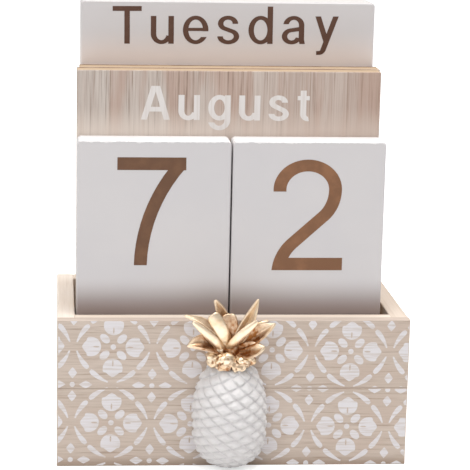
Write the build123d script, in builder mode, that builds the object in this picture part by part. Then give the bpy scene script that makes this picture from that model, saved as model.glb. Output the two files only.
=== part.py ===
"""Perpetual desk calendar: loose number, month and weekday plates that stand upright in a wooden tray.

Millimetres. X runs to the right along the front, Y runs back into the tray and Z runs up.
The origin is the middle of the tray's underside.
"""

import os
from dataclasses import dataclass, replace
from math import cos, pi, sin

from build123d import *

# ---------------------------------------------------------------- number plates, two side by side
NUMBER_PLATE_WIDTH = 60.6
NUMBER_PLATE_HEIGHT = 124.0
NUMBER_PLATE_THICKNESS = 6.0
NUMBER_PLATE_CORNER = 1.8  # corner radius of the plate's outline
NUMBER_PLATE_EASE = 0.5  # bevel along its edges
NUMBER_COLUMN_GAP = 0.7  # between the left and the right column

# ---------------------------------------------------------------- month plates, bare plywood
MONTH_RISE = 26.0  # how far a month plate stands above the number plates
MONTH_INSET = 0.9  # how much narrower it is than the pair of number plates
MONTH_PLATE_THICKNESS = 9.4
MONTH_PLATE_CORNER = 0.4
MONTH_PLATE_EASE = 0.25
MIDDLE_MONTH_SHIFT = 1.1  # how far to the right the middle one stands
REAR_MONTH_SHIFT = 2.0  # and the rear one, behind the weekday plates

# ---------------------------------------------------------------- weekday plates, painted
WEEKDAY_RISE = 25.8  # how far a weekday plate stands above the month plates
WEEKDAY_INSET = 2.7  # how much narrower it is than the pair of number plates
WEEKDAY_SHIFT = 1.6  # how far to the right it stands
WEEKDAY_PLATE_THICKNESS = 9.0
WEEKDAY_PLATE_CORNER = 1.6
WEEKDAY_PLATE_EASE = 0.5

# ---------------------------------------------------------------- play of the plates in the tray
LAYER_GAP = 0.3  # in front of each row of plates
WALL_CLEARANCE = 0.5  # between the plates and the left wall
RIGHT_PLAY = 3.6  # spare width, all of it at the right
REAR_PLAY = 3.4  # spare depth behind the last plate

# ---------------------------------------------------------------- tray
TRAY_HEIGHT = 60.0
SIDE_THICKNESS = 7.0
BACK_THICKNESS = 7.0
FRONT_BOARD_THICKNESS = 5.0
SLAT_THICKNESS = 4.3
LOWER_SLAT_HEIGHT = 32.0
FLOOR_THICKNESS = 6.0
BOARD_EASE = 0.6  # rounding of the boards' top edges
SLAT_EASE = 0.4  # rounding round the front of each slat

# ---------------------------------------------------------------- pineapple, a cast half relief
FRUIT_WIDTH = 30.2
FRUIT_HEIGHT = 43.5
FRUIT_RELIEF = 16.0  # how far it stands out from the slats
FRUIT_BOTTOM = 0.3  # above the table
FRUIT_SHIFT = -1.6  # its centre line, from the middle of the front
FRUIT_TOP_WIDTH = 14.4  # across the flat that the collar sits on
FRUIT_WIDEST = 0.5  # where it is widest, as a share of its height
LOWER_ROUNDNESS = 3.8  # power of its outline below the widest place: more is blunter
UPPER_ROUNDNESS = 2.8  # power of its outline above the widest place

# The scales lie between two sets of spiral grooves. Once round the fruit, at one height, is as many
# steps up along the gently rising grooves and down along the steep ones as these two numbers say.
RISING_STEPS = 13
FALLING_STEPS = 7
RISING_TURN = 0.055  # one step along a rising groove, as a share of a full turn
RISING_LIFT = 0.032  # and as a share of the way up the skin
SCALE_CROWDING = 1.25  # above 1, the scales are lower towards the bottom
SCALE_RELIEF = 0.8  # how far the middle of a scale stands out past its corners

COLLAR_HEIGHT = 5.7
COLLAR_FLARE = 2.0  # how far the bracts' rim stands out past the fruit's top
COLLAR_LIP = 0.35  # how high the rim is widest, as a share of the collar's height
COLLAR_SHOULDER = 0.75  # where the rim turns in to the core, likewise
SHOULDER_NARROWING = 0.92  # the collar's radius there, as a share of its widest
BRACT_COUNT = 14  # round the whole circle, of which the front half is there
BRACT_NOTCH = 0.5  # radius of the notch between two bracts, as a share of half their spacing
NOTCH_REACH = 1.03  # where the notches are centred, as a share of the collar's radius

CORE_SHARE = 0.6  # radius of the core that the leaves grow from, as a share of the collar's
CORE_HEIGHT = 7.0
CORE_TAPER = 22.0  # degrees
LEAF_THICKNESS = 1.4
LEAF_CUP = 0.26  # depth of a leaf's hollow, as a share of its width
LEAF_FLOOR = 0.3  # half width of the hollow's flat floor, as a share of the leaf's width
LEAF_BOW = 0.06  # how far a leaf's middle bows out, as a share of its length

# ---------------------------------------------------------------- derived places
PAIR_WIDTH = 2 * NUMBER_PLATE_WIDTH + NUMBER_COLUMN_GAP
INNER_WIDTH = WALL_CLEARANCE + PAIR_WIDTH + RIGHT_PLAY
TRAY_WIDTH = INNER_WIDTH + 2 * SIDE_THICKNESS
FRONT_THICKNESS = SLAT_THICKNESS + FRONT_BOARD_THICKNESS
MONTH_PLATE_HEIGHT = NUMBER_PLATE_HEIGHT + MONTH_RISE
WEEKDAY_PLATE_HEIGHT = MONTH_PLATE_HEIGHT + WEEKDAY_RISE


@dataclass(frozen=True)
class PlateKind:
    """The size of one kind of plate, and how far it stands to the right of the left clearance."""

    width: float
    height: float
    thickness: float
    corner: float
    ease: float
    shift: float = 0.0


number_kind = PlateKind(
    NUMBER_PLATE_WIDTH, NUMBER_PLATE_HEIGHT, NUMBER_PLATE_THICKNESS, NUMBER_PLATE_CORNER, NUMBER_PLATE_EASE
)
month_kind = PlateKind(
    PAIR_WIDTH - MONTH_INSET, MONTH_PLATE_HEIGHT, MONTH_PLATE_THICKNESS, MONTH_PLATE_CORNER, MONTH_PLATE_EASE
)
weekday_kind = PlateKind(
    PAIR_WIDTH - WEEKDAY_INSET,
    WEEKDAY_PLATE_HEIGHT,
    WEEKDAY_PLATE_THICKNESS,
    WEEKDAY_PLATE_CORNER,
    WEEKDAY_PLATE_EASE,
    WEEKDAY_SHIFT,
)

# The rows of plates from front to back. A row holds one wide plate, or two side by side.
PLATE_ROWS = (
    (number_kind, ("number_plate_left", "number_plate_right")),
    (number_kind, ("number_plate_left_spare", "number_plate_right_spare")),
    (month_kind, ("month_plate_front",)),
    (replace(month_kind, shift=MIDDLE_MONTH_SHIFT), ("month_plate_middle",)),
    (weekday_kind, ("weekday_plate_front",)),
    (weekday_kind, ("weekday_plate_rear",)),
    (replace(month_kind, shift=REAR_MONTH_SHIFT), ("month_plate_rear",)),
)
INNER_DEPTH = sum(LAYER_GAP + kind.thickness for kind, nodes in PLATE_ROWS) + REAR_PLAY
TRAY_DEPTH = FRONT_THICKNESS + INNER_DEPTH + BACK_THICKNESS

FRONT_Y = -TRAY_DEPTH / 2
SLAT_BACK_Y = FRONT_Y + SLAT_THICKNESS
INNER_FRONT_Y = FRONT_Y + FRONT_THICKNESS
INNER_BACK_Y = INNER_FRONT_Y + INNER_DEPTH
BACK_Y = TRAY_DEPTH / 2
PLATES_LEFT_X = -INNER_WIDTH / 2 + WALL_CLEARANCE
PLATE_BOTTOM = FLOOR_THICKNESS

os.makedirs("parts", exist_ok=True)


def save(builder: BuildPart, node: str) -> None:
    """Labels a finished piece and writes it."""
    builder.part.label = node
    export_step(builder.part, f"parts/{node}.step")


# ================================================================ tray
with BuildPart() as tray_floor:
    with BuildSketch(Plane.XY):
        with Locations((0, (INNER_FRONT_Y + INNER_BACK_Y) / 2)):
            Rectangle(INNER_WIDTH, INNER_DEPTH)
    extrude(amount=FLOOR_THICKNESS)
save(tray_floor, "tray_floor")

for node, side in (("tray_left_side", -1), ("tray_right_side", 1)):
    with BuildPart() as tray_side:
        with BuildSketch(Plane.XY):
            with Locations((side * (TRAY_WIDTH - SIDE_THICKNESS) / 2, (SLAT_BACK_Y + BACK_Y) / 2)):
                Rectangle(SIDE_THICKNESS, BACK_Y - SLAT_BACK_Y)
        extrude(amount=TRAY_HEIGHT)
        top_edges = tray_side.faces().sort_by(Axis.Z)[-1].edges()
        fillet(top_edges.filter_by(Axis.Y), BOARD_EASE)
    save(tray_side, node)

with BuildPart() as tray_back_board:
    with BuildSketch(Plane.XY):
        with Locations((0, (INNER_BACK_Y + BACK_Y) / 2)):
            Rectangle(INNER_WIDTH, BACK_THICKNESS)
    extrude(amount=TRAY_HEIGHT)
    fillet(tray_back_board.faces().sort_by(Axis.Z)[-1].edges().filter_by(Axis.X), BOARD_EASE)
save(tray_back_board, "tray_back_board")

with BuildPart() as tray_front_board:
    with BuildSketch(Plane.XY):
        with Locations((0, (SLAT_BACK_Y + INNER_FRONT_Y) / 2)):
            Rectangle(INNER_WIDTH, FRONT_BOARD_THICKNESS)
    extrude(amount=TRAY_HEIGHT)
    fillet(tray_front_board.edges().group_by(Axis.Z)[-1].sort_by(Axis.Y)[-1], BOARD_EASE)
save(tray_front_board, "tray_front_board")

slat_spans = (
    ("front_slat_lower", 0.0, LOWER_SLAT_HEIGHT),
    ("front_slat_upper", LOWER_SLAT_HEIGHT, TRAY_HEIGHT),
)
for node, bottom, top in slat_spans:
    with BuildPart() as front_slat:
        with BuildSketch(Plane.XZ.offset(-SLAT_BACK_Y)):
            with Locations((0, (bottom + top) / 2)):
                Rectangle(TRAY_WIDTH, top - bottom)
        extrude(amount=SLAT_THICKNESS)
        fillet(front_slat.faces().sort_by(Axis.Y)[0].edges(), SLAT_EASE)
    save(front_slat, node)

# ================================================================ plates
front = INNER_FRONT_Y
for kind, nodes in PLATE_ROWS:
    back = front + LAYER_GAP + kind.thickness
    for column, node in enumerate(nodes):
        left = PLATES_LEFT_X + kind.shift + column * (kind.width + NUMBER_COLUMN_GAP)
        with BuildPart() as plate:
            with BuildSketch(Plane.XZ.offset(-back)):
                with Locations((left + kind.width / 2, PLATE_BOTTOM + kind.height / 2)):
                    RectangleRounded(kind.width, kind.height, kind.corner)
            extrude(amount=kind.thickness)
            chamfer(plate.faces().filter_by(Axis.Y).edges(), kind.ease)
        save(plate, node)
    front = back

# ================================================================ pineapple
# The fruit is formed about an upright axis near the slats' face, and its back is cut flat there.
FRUIT_AXIS_Y = FRONT_Y - FRUIT_RELIEF + FRUIT_WIDTH / 2
FRUIT_TOP = FRUIT_BOTTOM + FRUIT_HEIGHT
FALLING_TURN = (1 - RISING_STEPS * RISING_TURN) / FALLING_STEPS
FALLING_LIFT = RISING_STEPS * RISING_LIFT / FALLING_STEPS
SCALE_LIFT = RISING_LIFT + FALLING_LIFT  # height of one scale, as a share of the way up the skin
fruit_axis = Axis((FRUIT_SHIFT, FRUIT_AXIS_Y, 0), (0, 0, 1))
fruit_plane = Plane((FRUIT_SHIFT, FRUIT_AXIS_Y, 0), x_dir=(1, 0, 0), z_dir=(0, -1, 0))
back_plane = Plane((FRUIT_SHIFT, FRONT_Y, 0), x_dir=(1, 0, 0), z_dir=(0, -1, 0))
top_plane = Plane((0, 0, FRUIT_TOP))


def fruit_radius(share: float) -> float:
    """The fruit's radius at a share of its height: blunt below, tapered above, straight past the top."""
    if share < FRUIT_WIDEST:
        below = (FRUIT_WIDEST - share) / FRUIT_WIDEST
        return FRUIT_WIDTH / 2 * (1 - below**LOWER_ROUNDNESS) ** 0.5
    above = min(1, (share - FRUIT_WIDEST) / (1 - FRUIT_WIDEST))
    lost = FRUIT_WIDTH**2 - FRUIT_TOP_WIDTH**2
    return (FRUIT_WIDTH**2 - lost * above**UPPER_ROUNDNESS) ** 0.5 / 2


def scale_lift(rising: float, falling: float) -> float:
    """How far up the skin a place of the lattice lies, from 0 at the bottom to 1 at the top."""
    return rising * RISING_LIFT - falling * FALLING_LIFT


def scale_point(rising: float, falling: float, relief: float = 0) -> Vector:
    """The point so many steps along a rising groove and then along a falling one, raised by the relief."""
    share = scale_lift(rising, falling) ** SCALE_CROWDING
    angle = 2 * pi * (rising * RISING_TURN + falling * FALLING_TURN)
    radius = fruit_radius(share) - SCALE_RELIEF + relief
    return Vector(
        FRUIT_SHIFT + radius * sin(angle),
        FRUIT_AXIS_Y - radius * cos(angle),
        FRUIT_BOTTOM + share * FRUIT_HEIGHT,
    )


def first_turn(corner: tuple[int, int]) -> tuple[int, int]:
    """The same corner of the lattice, counted from the first turn of the grooves."""
    turns = corner[0] // RISING_STEPS
    return corner[0] - turns * RISING_STEPS, corner[1] - turns * FALLING_STEPS


# Every scale is a low pyramid over the four corners of its cell. The cells run from just above the
# bottom to past the top, where a plane cuts them off.
farthest = round((1 + SCALE_LIFT) / FALLING_LIFT) + 1
scale_faces = []
groove_edges = {}
for rising in range(RISING_STEPS):
    for falling in range(-farthest, RISING_STEPS):
        if not SCALE_LIFT / 4 < scale_lift(rising, falling + 1) < 1:
            continue
        corners = [
            (rising, falling + 1),
            (rising + 1, falling + 1),
            (rising + 1, falling),
            (rising, falling),
        ]
        apex = scale_point(rising + 0.5, falling + 0.5, SCALE_RELIEF)
        for first, second in zip(corners, corners[1:] + corners[:1]):
            edge = [scale_point(*first), scale_point(*second)]
            scale_faces.append(Face(Wire.make_polygon([*edge, apex])))
            groove_edges[first_turn(first), first_turn(second)] = edge

# An edge with a scale on one side only is joined to the end of the fruit that it is nearer to.
bottom_end = Vector(FRUIT_SHIFT, FRUIT_AXIS_Y, FRUIT_BOTTOM)
top_end = Vector(FRUIT_SHIFT, FRUIT_AXIS_Y, FRUIT_TOP + FRUIT_HEIGHT)
for (first, second), edge in groove_edges.items():
    if (second, first) not in groove_edges:
        end = top_end if edge[0].Z > FRUIT_BOTTOM + FRUIT_HEIGHT / 2 else bottom_end
        scale_faces.append(Face(Wire.make_polygon([edge[1], edge[0], end])))

with BuildPart() as pineapple_fruit:
    add(Solid(Shell(scale_faces)))
    split(bisect_by=top_plane, keep=Keep.BOTTOM)
    split(bisect_by=back_plane, keep=Keep.TOP)
save(pineapple_fruit, "pineapple_fruit")

# The collar flares out over the fruit's top, and its rim is cut into rounded bracts.
COLLAR_ROOT = FRUIT_TOP_WIDTH / 2 - SCALE_RELIEF
COLLAR_RADIUS = COLLAR_ROOT + SCALE_RELIEF + COLLAR_FLARE
CORE_RADIUS = COLLAR_RADIUS * CORE_SHARE
with BuildPart() as pineapple_collar:
    with BuildSketch(fruit_plane):
        Polygon(
            (0, FRUIT_TOP),
            (COLLAR_ROOT, FRUIT_TOP),
            (COLLAR_RADIUS, FRUIT_TOP + COLLAR_HEIGHT * COLLAR_LIP),
            (COLLAR_RADIUS * SHOULDER_NARROWING, FRUIT_TOP + COLLAR_HEIGHT * COLLAR_SHOULDER),
            (CORE_RADIUS, FRUIT_TOP + COLLAR_HEIGHT),
            (0, FRUIT_TOP + COLLAR_HEIGHT),
            align=None,
        )
    revolve(axis=fruit_axis)
    with BuildSketch(Plane((FRUIT_SHIFT, FRUIT_AXIS_Y, FRUIT_TOP))):
        with PolarLocations(COLLAR_RADIUS * NOTCH_REACH, BRACT_COUNT):
            Circle(COLLAR_RADIUS * sin(pi / BRACT_COUNT) * BRACT_NOTCH)
    extrude(amount=COLLAR_HEIGHT, mode=Mode.SUBTRACT)
    split(bisect_by=back_plane, keep=Keep.TOP)
save(pineapple_collar, "pineapple_collar")

# Each leaf: where it grows from the core and where its tip is, as (side, forward, rise) from the middle
# of the collar's top at the slats' face, its widest width, and the way that its hollow faces.
CROWN_FOOT = FRUIT_TOP + COLLAR_HEIGHT
FACES_FRONT = Vector(0, -1, 0.15)
FACES_BACK = Vector(0, 1, 0.5)
FACES_UP_LEFT = Vector(0.55, 0.1, 1)
FACES_UP_RIGHT = Vector(-0.55, 0.1, 1)
LEAVES = (
    ((-0.5, 3.2, 0.8), (-6.8, 3.6, 18.6), 6.0, FACES_FRONT),
    ((1.0, 3.2, 0.8), (10.1, 4.0, 19.6), 6.4, FACES_FRONT),
    ((0.3, 3.0, 1.0), (1.2, 3.6, 12.8), 6.4, FACES_FRONT),
    ((-1.2, 4.4, 1.0), (-7.2, 8.0, 15.2), 7.4, FACES_BACK),
    ((0.8, 4.4, 1.0), (9.8, 9.5, 12.0), 5.6, FACES_BACK),
    ((-1.5, 3.6, 1.2), (-18.9, 5.0, 12.6), 5.6, FACES_UP_LEFT),
    ((-2.0, 4.2, 1.0), (-16.4, 9.5, 11.6), 5.2, FACES_BACK),
    ((2.0, 3.8, 1.2), (17.0, 7.0, 10.3), 6.2, FACES_UP_RIGHT),
    ((-2.0, 3.8, 1.4), (-18.0, 9.0, 1.4), 6.4, FACES_UP_LEFT),
    ((1.8, 3.8, 1.4), (12.6, 11.0, 1.8), 6.4, FACES_UP_RIGHT),
)
LEAF_STATIONS = ((0.0, 0.6), (0.3, 1.0), (0.6, 0.85), (0.85, 0.45), (1.0, 0.1))  # shares of length, width


def leaf_section(centre: Vector, across: Vector, up: Vector, width: float, wall: float) -> list[Vector]:
    """The corners of a leaf's folded section, whose rims stand up round its hollow."""
    rim = width * LEAF_CUP
    floor = width * LEAF_FLOOR
    floor_rise = rim * LEAF_FLOOR
    outline = (
        (-width / 2, rim),
        (-floor, floor_rise - wall / 2),
        (0, -wall / 2),
        (floor, floor_rise - wall / 2),
        (width / 2, rim),
        (floor, floor_rise + wall / 2),
        (0, wall / 2),
        (-floor, floor_rise + wall / 2),
    )
    return [centre + across * side + up * height for side, height in outline]


def leaf_solid(root: Vector, tip: Vector, width: float, hollow: Vector) -> Solid:
    """Joins folded sections by flat facets into one cupped leaf that bows away from its hollow."""
    length = (tip - root).length
    along = (tip - root).normalized()
    across = along.cross(hollow).normalized()
    up = across.cross(along).normalized()
    sections = []
    for distance, share in LEAF_STATIONS:
        bow = sin(pi * distance) * LEAF_BOW * length
        centre = root + along * (distance * length) - up * bow
        sections.append(leaf_section(centre, across, up, width * share, LEAF_THICKNESS * share))
    faces = [Face(Wire.make_polygon(sections[0])), Face(Wire.make_polygon(sections[-1]))]
    for near, far in zip(sections, sections[1:]):
        for index in range(len(near)):
            corners = [near[index - 1], near[index], far[index], far[index - 1]]
            faces.append(Face(Wire.make_polygon(corners)))
    return Solid(Shell(faces))


leaves = []
for root, tip, width, hollow in LEAVES:
    foot = Vector(FRUIT_SHIFT + root[0], FRONT_Y - root[1], CROWN_FOOT + root[2])
    end = Vector(FRUIT_SHIFT + tip[0], FRONT_Y - tip[1], CROWN_FOOT + tip[2])
    leaves.append(leaf_solid(foot, end, width, hollow))

with BuildPart() as pineapple_crown:
    with BuildSketch(Plane((FRUIT_SHIFT, FRUIT_AXIS_Y, CROWN_FOOT))):
        RegularPolygon(CORE_RADIUS, BRACT_COUNT)
    extrude(amount=CORE_HEIGHT, taper=CORE_TAPER)
    add(leaves)
    split(bisect_by=back_plane, keep=Keep.TOP)
    split(bisect_by=Plane((0, 0, CROWN_FOOT)), keep=Keep.TOP)
save(pineapple_crown, "pineapple_crown")

height = PLATE_BOTTOM + WEEKDAY_PLATE_HEIGHT
print(f"tray {TRAY_WIDTH:.1f} x {TRAY_DEPTH:.1f} x {TRAY_HEIGHT:.1f}, {height:.1f} to the top")
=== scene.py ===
"""Finishes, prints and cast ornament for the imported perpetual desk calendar.

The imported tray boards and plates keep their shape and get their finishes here. The ink on the
plates, the painted tile pattern on the front slats and the cast pineapple are modelled here.

The scene is in metres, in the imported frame: +X to the right along the patterned front, +Y to the
back and +Z up. Sizes are written in millimetres, and MM turns them into metres.
"""

import logging
import random
from contextlib import contextmanager
from dataclasses import dataclass, field, replace
from enum import Enum, IntFlag
from math import asin, atan2, ceil, copysign, cos, degrees, hypot, pi, radians, sin
from typing import Callable, Iterator, Sequence

import bpy
from bpy.types import ID, Material, Node, NodeSocket, Object
from mathutils import Matrix, Vector, noise


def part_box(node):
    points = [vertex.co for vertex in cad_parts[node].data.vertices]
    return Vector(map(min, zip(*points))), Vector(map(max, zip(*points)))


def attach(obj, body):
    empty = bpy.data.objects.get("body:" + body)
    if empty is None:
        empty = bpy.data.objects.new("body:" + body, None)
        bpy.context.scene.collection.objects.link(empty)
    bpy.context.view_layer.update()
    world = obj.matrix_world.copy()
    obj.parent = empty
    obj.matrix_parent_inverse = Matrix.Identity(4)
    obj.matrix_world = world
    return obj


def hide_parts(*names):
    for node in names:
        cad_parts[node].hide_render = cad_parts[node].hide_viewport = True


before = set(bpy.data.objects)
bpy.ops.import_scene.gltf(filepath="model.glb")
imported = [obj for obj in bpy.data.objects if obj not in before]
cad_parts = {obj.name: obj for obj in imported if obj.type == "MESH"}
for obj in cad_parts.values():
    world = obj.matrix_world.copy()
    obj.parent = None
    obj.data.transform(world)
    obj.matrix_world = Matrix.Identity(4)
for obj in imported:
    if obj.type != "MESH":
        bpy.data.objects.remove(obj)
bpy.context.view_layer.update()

LOG = logging.getLogger("desk_calendar")
MM = 0.001
TRAY_BODY = "tray"
PAINTED_SHADE = "recess"  # the cast pieces' own attribute: how much painted shade each place gets

Colour = tuple[float, float, float, float]
Point2 = tuple[float, float]
Place = tuple[float, float, float]


def srgb(red: int, green: int, blue: int) -> Colour:
    """Turns an 8-bit display colour into the linear colour that a shader takes.

    Args:
        red: The red channel, 0 to 255.
        green: The green channel, 0 to 255.
        blue: The blue channel, 0 to 255.

    Returns:
        The linear colour with full alpha.
    """
    channels = [value / 255 for value in (red, green, blue)]
    linear = [c / 12.92 if c <= 0.04045 else ((c + 0.055) / 1.055) ** 2.4 for c in channels]
    return linear[0], linear[1], linear[2], 1.0


# ==== bench
class Bench:
    """Blender's operators, each made to act on one named piece only."""

    @staticmethod
    def pick(*pieces: Object) -> None:
        """Selects these pieces and nothing else, and makes the first one active.

        Args:
            *pieces: The pieces to select.
        """
        bpy.ops.object.select_all(action="DESELECT")
        for piece in pieces:
            piece.select_set(True)
        bpy.context.view_layer.objects.active = pieces[0]

    @staticmethod
    @contextmanager
    def editing(piece: Object, mode: str = "VERT") -> Iterator[None]:
        """Opens a piece in edit mode with all of it selected, and closes it afterwards.

        Args:
            piece: The piece to edit.
            mode: What is selected: VERT, EDGE or FACE.

        Yields:
            Nothing: the operators inside the block act on the piece.
        """
        Bench.pick(piece)
        bpy.ops.object.mode_set(mode="EDIT")
        bpy.ops.mesh.select_mode(type=mode)
        bpy.ops.mesh.select_all(action="SELECT")
        yield
        bpy.ops.object.mode_set(mode="OBJECT")

    @staticmethod
    def place_points(piece: Object, places: Sequence[Vector]) -> None:
        """Moves each vertex of a piece, in the mesh's order, to its own place."""
        piece.data.vertices.foreach_set("co", [value for place in places for value in place])
        piece.data.update()

    @staticmethod
    def finish_modifier(piece: Object, kind: str, **settings: object) -> None:
        """Adds a modifier to a piece and applies it.

        Args:
            piece: The piece to change.
            kind: The modifier's type.
            **settings: The modifier's own settings.
        """
        Bench.pick(piece)
        modifier = piece.modifiers.new(kind.lower(), kind)
        for name, value in settings.items():
            setattr(modifier, name, value)
        bpy.ops.object.modifier_apply(modifier=modifier.name)

    @staticmethod
    def join(name: str, parts: Sequence[Object]) -> Object:
        """Joins several pieces into one.

        Args:
            name: The name of the joined piece.
            parts: The pieces to join.

        Returns:
            The joined piece.
        """
        Bench.pick(*parts)
        if len(parts) > 1:
            bpy.ops.object.join()
        parts[0].name = name
        parts[0].data.name = name
        return parts[0]

    @staticmethod
    def extrude(piece: Object, rise: float) -> None:
        """Raises a flat outline into a closed slab.

        Args:
            piece: A piece that lies flat in its XY plane.
            rise: The slab's thickness, in the piece's own units.
        """
        with Bench.editing(piece, "FACE"):
            bpy.ops.mesh.extrude_region_move(TRANSFORM_OT_translate={"value": (0, 0, rise)})
            bpy.ops.mesh.select_all(action="SELECT")
            bpy.ops.mesh.normals_make_consistent(inside=False)

    @staticmethod
    def smooth(piece: Object, sharpest: float) -> None:
        """Shades a piece smooth, except over edges sharper than this many degrees."""
        Bench.pick(piece)
        bpy.ops.object.shade_smooth_by_angle(angle=radians(sharpest))

    @staticmethod
    def add(primitive: Callable[..., set[str]], **settings: object) -> Object:
        """Adds a primitive while nothing else is selected.

        Args:
            primitive: The operator that adds it.
            **settings: The operator's own settings.

        Returns:
            The new piece.
        """
        bpy.ops.object.select_all(action="DESELECT")
        primitive(**settings)
        return bpy.context.object

    @staticmethod
    def cut(piece: Object, place: Vector, outwards: Vector, threshold: float = 1e-4) -> None:
        """Cuts away what lies beyond a plane and closes the cut.

        Args:
            piece: The piece to cut.
            place: A point of the plane.
            outwards: The way towards what is cut away.
            threshold: How near the plane a vertex counts as on it, in the piece's own units.
        """
        with Bench.editing(piece, "FACE"):
            bpy.ops.mesh.bisect(
                plane_co=place, plane_no=outwards, clear_outer=True, use_fill=True, threshold=threshold
            )

    @staticmethod
    def stand(name: str, data: ID, place: Vector, axes: Matrix) -> Object:
        """Stands a camera or a lamp in the scene.

        Args:
            name: Its name.
            data: The camera's or the lamp's own data.
            place: Its place, in metres.
            axes: Its turn.

        Returns:
            The new object.
        """
        item = bpy.data.objects.new(name, data)
        bpy.context.scene.collection.objects.link(item)
        item.matrix_world = Matrix.Translation(place) @ axes
        return item


def settle(piece: Object, body: str, material: Material) -> None:
    """Brings a finished piece to metres, dresses it, lets it ride on its body and reports it.

    Args:
        piece: The finished piece, in millimetres, with its place in its mesh.
        body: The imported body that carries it.
        material: Its finish.
    """
    piece.data.transform(Matrix.Scale(MM, 4))
    piece.data.materials.clear()
    piece.data.materials.append(material)
    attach(piece, body)
    LOG.info("%s: %d faces on %s", piece.name, len(piece.data.polygons), body)


def box_of(node: str) -> tuple[Vector, Vector]:
    """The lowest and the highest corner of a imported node, in millimetres."""
    low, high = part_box(node)
    return low / MM, high / MM


# ==== finishes
MIX_INPUTS = (0, 6, 7)  # a colour mix's factor and its two colours
MIX_RESULT = 2
EDGE_FACING = (0.35, 0.8)  # the normal's part along an axis: below the first edge, above the second face


class Axis(Enum):
    """One of the frame's axes, as its number among X, Y and Z."""

    X = 0
    Y = 1
    Z = 2


def set_inputs(node: Node, values: dict[str, object]) -> None:
    """Gives a node's inputs their plain values, by the inputs' names."""
    for name, value in values.items():
        node.inputs[name].default_value = value


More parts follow.
